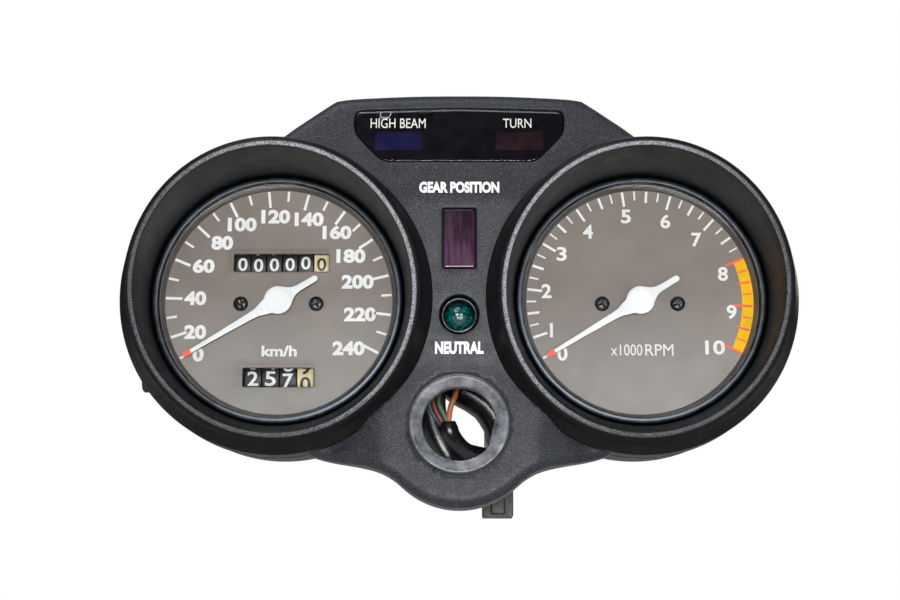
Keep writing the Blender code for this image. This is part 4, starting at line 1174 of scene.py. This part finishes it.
def cut_knob_pocket(cover, hub):
    """The hole in the side of a rear cover that the trip knob's axle goes through."""
    points, faces = lathe([(0.0, -60.0), (4.8, -60.0), (4.8, -38.0), (0.0, -38.0)], 48, "X")
    mesh = bpy.data.meshes.new("pocket")
    placed = [((x + hub) * MM, (y + FACE_Y + DRUM_DEPTH) * MM, (z + TRIP_Z) * MM) for x, y, z in points]
    mesh.from_pydata(placed, [], faces)
    cutter = bpy.data.objects.new("pocket", mesh)
    bpy.context.scene.collection.objects.link(cutter)
    bm = bmesh.new()
    bm.from_mesh(mesh)
    bmesh.ops.recalc_face_normals(bm, faces=bm.faces)
    bm.to_mesh(mesh)
    bm.free()
    modifier = cover.modifiers.new("pocket", "BOOLEAN")
    modifier.operation = "DIFFERENCE"
    modifier.solver = "EXACT"
    modifier.object = cutter
    cut = bpy.data.meshes.new_from_object(cover.evaluated_get(bpy.context.evaluated_depsgraph_get()))
    cover.modifiers.clear()
    cover.data = cut
    cut.set_sharp_from_angle(angle=math.radians(38))
    bpy.data.objects.remove(cutter)


def make_rear_cover(gauge):
    """The dusty cover behind a gauge, with the rubber dampers, washers and cap nuts that hold it."""
    hub = HUBS[gauge]
    profile = ((57.0, 15.4), (57.0, 17.2), (56.5, 17.8), (56.5, 42.0), (55.9, 46.5), (54.4, 51.5),
               (51.0, 56.5), (46.0, 60.0), (12.5, 60.0), (12.0, 58.9), (10.0, 58.9), (10.0, 58.0),
               (45.4, 58.0), (50.2, 54.6), (53.0, 50.5), (54.9, 43.6), (55.0, 15.4))
    cover = turned(f"{gauge}_back_cover", profile, "cover", (hub, 0.0, 0.0), replaces=f"{gauge}_rear_cover",
                   hollow=True, steps=144, radius=1.2)
    if gauge == "speedometer":
        cut_knob_pocket(cover, hub)
    damper = ((2.9, 60.4), (9.0, 60.4), (9.0, 66.0), (7.4, 67.5), (6.0, 67.6), (6.0, 71.4), (7.4, 71.5),
              (9.0, 73.0), (9.0, 76.0), (2.9, 76.0))
    washer = ((2.9, 76.02), (8.2, 76.02), (8.2, 76.9), (2.9, 76.9))
    nut = ((0.0, 84.2), (1.8, 83.9), (3.4, 83.0), (4.3, 81.4), (4.5, 80.2), (5.7, 80.0), (6.0, 79.5),
           (6.0, 76.95), (2.8, 76.95), (2.8, 80.4), (0.0, 80.4))

    def flats(r, angle, along):
        return hexagon(5.3)(r, angle, along) if r >= 5.0 else r

    for end, side in SIDES:
        at = (hub + side * STUD_X, 0.0, STUD_Z)
        turned(f"{gauge}_damper_{end}_bobbin", damper, "rubber", at, replaces=f"{gauge}_damper_{end}",
               hollow=True, radius=0.8)
        turned(f"{gauge}_washer_{end}", washer, "zinc", at, hollow=True, radius=0.2)
        turned(f"{gauge}_cap_nut_{end}_hex", nut, "zinc", at, replaces=f"{gauge}_cap_nut_{end}",
               radius=0.25, warp=flats)


def make_gauge(gauge, windows):
    make_hood(gauge)
    make_bezel(gauge)
    make_dial(gauge, windows)
    make_needle(gauge)
    for end, side in SIDES:
        make_screw(f"{gauge}_dial_screw_{end}_head", (HUBS[gauge] + side * DIAL_SCREW[0], DIAL_SCREW[1]),
                   2.7, DIAL_DEPTH - 1.9, DIAL_DEPTH - 0.1, "screw", f"{gauge}_dial_screw_{end}")
    make_can(gauge)
    make_rear_cover(gauge)


# ---------------------------------------------------------------- counters

def make_drum(node, digit_look, drum_look, first_digit, drop, digit_size):
    """A number drum with its ten digits wrapped round it; first_digit shows, lowered by drop degrees."""
    low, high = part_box(node)
    middle = (low + high) / 2 / MM
    radius = (high.z - low.z) / 2 / MM
    at = (middle.x, middle.y - FACE_Y, middle.z)
    half = (high.x - low.x) / MM / 2
    profile = ((1.6, -half), (5.0, -half), (5.0, -half + 0.5), (7.6, -half + 0.5), (7.6, -half),
               (radius, -half), (radius, half), (1.6, half))
    turned(f"{node}_roller", profile, drum_look, at, node, replaces=node, axis="X",
           hollow=True, radius=0.2)
    points, faces = [], []
    for digit in range(10):
        width = digit_size[0] * (0.5 if digit == 1 else 1.0)
        spots, shapes = text_mesh(str(digit), 0.018, width, digit_size[1])
        bm = bmesh.new()
        vertices = [bm.verts.new((x, z, rise * 0.01)) for x, z, rise in spots]
        for shape in shapes:
            if len(set(shape)) > 2 and not bm.faces.get([vertices[i] for i in shape]):
                bm.faces.new([vertices[i] for i in shape])
        for _ in range(3):
            long_edges = [e for e in bm.edges if e.calc_length() > 0.9]
            if not long_edges:
                break
            bmesh.ops.subdivide_edges(bm, edges=long_edges, cuts=1, use_grid_fill=False)
            bmesh.ops.triangulate(bm, faces=bm.faces)
        bm.verts.index_update()
        first = len(points)
        for vertex in bm.verts:
            x, z, rise = vertex.co
            reach = radius - 0.02 + rise * 8.0
            angle = -math.radians(36.0 * (digit - first_digit) + drop) + z / radius
            points.append((x, -reach * math.cos(angle), reach * math.sin(angle)))
        faces += [[first + v.index for v in face.verts] for face in bm.faces]
        bm.free()
    piece(f"{node}_digits", points, faces, digit_look, node, (at[0], middle.y, at[2]))


def make_counters():
    """Both rows of drums, at the counts they show, and the knurled trip knob."""
    places = ("10000", "1000", "100", "10", "1")
    for place, drop in zip(places, (0.0, 2.0, 1.0, 0.0, -3.0)):
        make_drum(f"odometer_drum_{place}", "legend", "drum", 0, drop, ODOMETER_DIGIT)
    make_drum("odometer_drum_tenths", "digit_black", "cream", 0, 0.0, ODOMETER_DIGIT)
    for place, digit, drop in zip(places[2:], (2, 5, 7), (0.0, 0.0, 5.0)):
        make_drum(f"trip_drum_{place}", "legend", "drum", digit, drop, TRIP_DIGIT)
    make_drum("trip_drum_tenths", "digit_black", "cream", 0, 12.0, TRIP_DIGIT)
    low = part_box("trip_reset_knob")[0].x / MM

    def flutes(r, angle, along):
        return r - (0.22 * (0.5 + 0.5 * math.cos(18.0 * angle)) if r > 3.3 else 0.0)

    profile = ((0.0, 0.0), (3.2, 0.0), (4.0, 0.8), (4.0, 6.4), (3.4, 6.8), (1.2, 7.4), (1.2, 69.4),
               (0.0, 69.4))
    turned("trip_reset_knob_fluted", profile, "rubber", (low, DRUM_DEPTH, TRIP_Z), "trip_reset_knob",
           "trip_reset_knob", axis="X", radius=0.3, warp=flutes, steps=144)


# ---------------------------------------------------------------- bracket, harness

def make_bracket():
    """The bracket, and the posts, screws and washers that hold the case on its arms."""
    finer_copy("mounting_bracket", "bracket", 0.6)
    washer = ((2.1, 29.05), (4.6, 29.05), (4.6, 29.8), (2.1, 29.8))
    post = ((0.0, 2.0), (4.0, 2.0), (4.0, 25.6), (1.7, 25.6), (1.7, 14.4), (0.0, 14.4))
    for end, side in SIDES:
        x, z = side * CASE_SCREW[0], CASE_SCREW[1]
        turned(f"case_washer_{end}", washer, "zinc", (x, 0.0, z), hollow=True, radius=0.2)
        make_screw(f"case_screw_{end}", (x, z), 3.6, 32.2, 29.8, "zinc", faces_front=False)
        turned(f"case_post_{end}", post, "grained", (x, 0.0, z), radius=0.3)


def make_harness():
    """The wires from the bulb holders into their sleeve, the looms beside it and the connector."""
    def ripple(i):
        return 1.0 + 0.02 * math.sin(i * 0.9)

    tube("harness_sleeve_soft", ((-4.2, 40.4, -41.0), (-3.4, 41.0, -46.0), (2.0, 45.0, -52.0),
                                 (10.0, 52.0, -54.0), (14.6, 57.0, -57.0), (15.0, 58.0, -61.6)),
         3.6, "sleeve", "harness_sleeve", sides=24, ripple=ripple)
    lamp_x = centre("high_beam_filter", X)
    tube("wire_warning_lamps_black", ((lamp_x, 35.5, LAMP_Z), (-21.0, 42.0, 56.0), (-12.0, 46.0, 44.0),
                                      (-4.5, 47.0, 28.0), (-4.0, 46.0, 8.0), (-4.5, 44.0, -12.0),
                                      (-6.5, 41.6, -28.4), (-6.6, 40.6, -36.0), (-5.4, 40.4, -43.0)),
         1.5, "wire_black", "wire_warning_lamps")
    tube("wire_neutral_lamp_orange", ((0.0, 26.4, NEUTRAL_Z), (0.4, 32.0, -7.5), (0.0, 37.5, -14.0),
                                      (-0.2, 38.6, -22.0), (-1.2, 37.6, -30.0), (-3.4, 38.0, -36.0),
                                      (-4.4, 39.6, -43.0)),
         1.1, "wire_orange", "wire_neutral_lamp")
    extras = (("red", -9.5, 39.2, 0.9), ("green", -7.4, 38.2, 0.9), ("blue", -11.2, 40.6, 1.0))
    for i, (colour, x, depth, radius) in enumerate(extras):
        tube(f"wire_lamp_{colour}", ((-7.0 - i, 45.5, 8.0), (-7.5 - i, 44.0, -12.0),
                                     (x, depth + 2.0, -26.0), (x - 0.5, depth, -34.0),
                                     (x + 2.2, depth + 0.6, -40.0), (-4.6, 40.4, -44.0)),
             radius, f"wire_{colour}")
    looms = (("left", 5.6, ((-14.0, 46.0, -24.0), (-11.5, 46.0, -38.0), (-7.0, 46.0, -50.0),
                            (-1.0, 48.0, -60.0))),
             ("right", 7.0, ((-3.0, 58.0, -2.0), (-5.5, 54.0, -12.0), (-3.3, 52.0, -24.0),
                             (10.7, 52.0, -33.0), (17.5, 52.0, -45.0), (18.5, 54.0, -60.0))))
    for label, radius, route in looms:
        tube(f"loom_{label}", route, radius, "sleeve", sides=24, ripple=ripple)
    finer_copy("harness_connector", "connector", 0.5)


# ---------------------------------------------------------------- studio

def make_studio():
    """A white backdrop, a soft sky, five area lamps and the paper below."""
    world = bpy.data.worlds.new("studio")
    bpy.context.scene.world = world
    world.use_nodes = True
    nodes, links = world.node_tree.nodes, world.node_tree.links
    soft = nodes["Background"]
    where = nodes.new("ShaderNodeTexCoord")
    split = nodes.new("ShaderNodeSeparateXYZ")
    links.new(where.outputs["Generated"], split.inputs[0])
    sky = nodes.new("ShaderNodeValToRGB")
    sky.color_ramp.elements[0].position, sky.color_ramp.elements[0].color = 0.76, (0.10, 0.10, 0.105, 1)
    sky.color_ramp.elements[1].position, sky.color_ramp.elements[1].color = 0.95, (0.95, 0.96, 1.0, 1)
    height = nodes.new("ShaderNodeMapRange")
    height.inputs["From Min"].default_value = -1.0
    links.new(split.outputs["Z"], height.inputs["Value"])
    links.new(height.outputs["Result"], sky.inputs["Fac"])
    links.new(sky.outputs["Color"], soft.inputs["Color"])
    soft.inputs["Strength"].default_value = 0.30
    backdrop = nodes.new("ShaderNodeBackground")
    backdrop.inputs["Color"].default_value = (1, 1, 1, 1)
    backdrop.inputs["Strength"].default_value = 1.0
    path = nodes.new("ShaderNodeLightPath")
    mixer = nodes.new("ShaderNodeMixShader")
    links.new(path.outputs["Is Camera Ray"], mixer.inputs[0])
    links.new(soft.outputs[0], mixer.inputs[1])
    links.new(backdrop.outputs[0], mixer.inputs[2])
    links.new(mixer.outputs[0], nodes["World Output"].inputs["Surface"])

    def lamp(name, place, size, power):
        light = bpy.data.lights.new(name, "AREA")
        light.shape = "RECTANGLE"
        light.size, light.size_y = size
        light.energy = power
        made = bpy.data.objects.new(name, light)
        made.location = place
        aim = Vector((0.0, FACE_Y * MM, 0.0)) - Vector(place)
        made.rotation_euler = aim.to_track_quat("-Z", "Y").to_euler()
        bpy.context.scene.collection.objects.link(made)

    lamp("key_softbox", (-0.30, -0.70, 1.05), (0.8, 0.5), 8.0)
    lamp("front_fill", (0.05, -1.0, -0.06), (0.6, 0.16), 8.3)
    lamp("left_fill", (-1.2, -0.5, 0.25), (0.5, 0.6), 2.0)
    lamp("right_fill", (1.2, -0.6, 0.15), (0.5, 0.6), 2.5)
    lamp("rear_fill", (0.3, 1.2, 0.6), (1.0, 0.8), 7.0)

    mesh = bpy.data.meshes.new("floor")
    reach, steps = 3.0, 96
    floor_z = cad_bounds[0][2] - 0.085
    ring = [(reach * math.cos(2 * math.pi * i / steps), reach * math.sin(2 * math.pi * i / steps), floor_z)
            for i in range(steps)]
    mesh.from_pydata(ring, [], [list(range(steps))])
    paper = Surface("studio_paper").set(Specular_IOR_Level=0.2)
    paper.colour(paper.ramp(paper.noise(300.0, 3.0), (0.3, (0.80, 0.80, 0.79)), (0.7, (0.84, 0.84, 0.83))))
    paper.rough(paper.span(paper.noise(40.0), 0.85, 0.95))
    mesh.materials.append(paper.material)
    floor = bpy.data.objects.new("floor", mesh)
    bpy.context.scene.collection.objects.link(floor)


def make_camera():
    """A camera a little below the axes of the gauges."""
    elevation, distance = math.radians(-10.2), 0.640
    aim = Vector((0.0, FACE_Y * MM, 0.0))
    data = bpy.data.cameras.new("camera")
    data.lens = 69.65
    data.shift_x, data.shift_y = -0.0103, -0.0018
    camera = bpy.data.objects.new("camera", data)
    camera.location = aim + distance * Vector((0.0, -math.cos(elevation), math.sin(elevation)))
    camera.rotation_euler = (aim - camera.location).to_track_quat("-Z", "Y").to_euler()
    bpy.context.scene.collection.objects.link(camera)
    bpy.context.scene.camera = camera
    bpy.context.scene.view_settings.view_transform = "Standard"


make_camera()
make_panel()
make_switch_seat()
odometer_x = (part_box("odometer_drum_10000")[0].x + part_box("odometer_drum_tenths")[1].x) / 2 / MM
trip_x = (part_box("trip_drum_100")[0].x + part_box("trip_drum_tenths")[1].x) / 2 / MM
make_gauge("speedometer", ((odometer_x - HUBS["speedometer"], ODOMETER_Z, *ODOMETER_WINDOW),
                           (trip_x - HUBS["speedometer"], TRIP_Z, *TRIP_WINDOW)))
make_gauge("tachometer", ())
make_speed_scale()
make_rev_scale()
make_warning_window()
make_gear_window()
make_neutral_lamp()
make_lamp_box()
make_counters()
make_bracket()
make_harness()
make_studio()
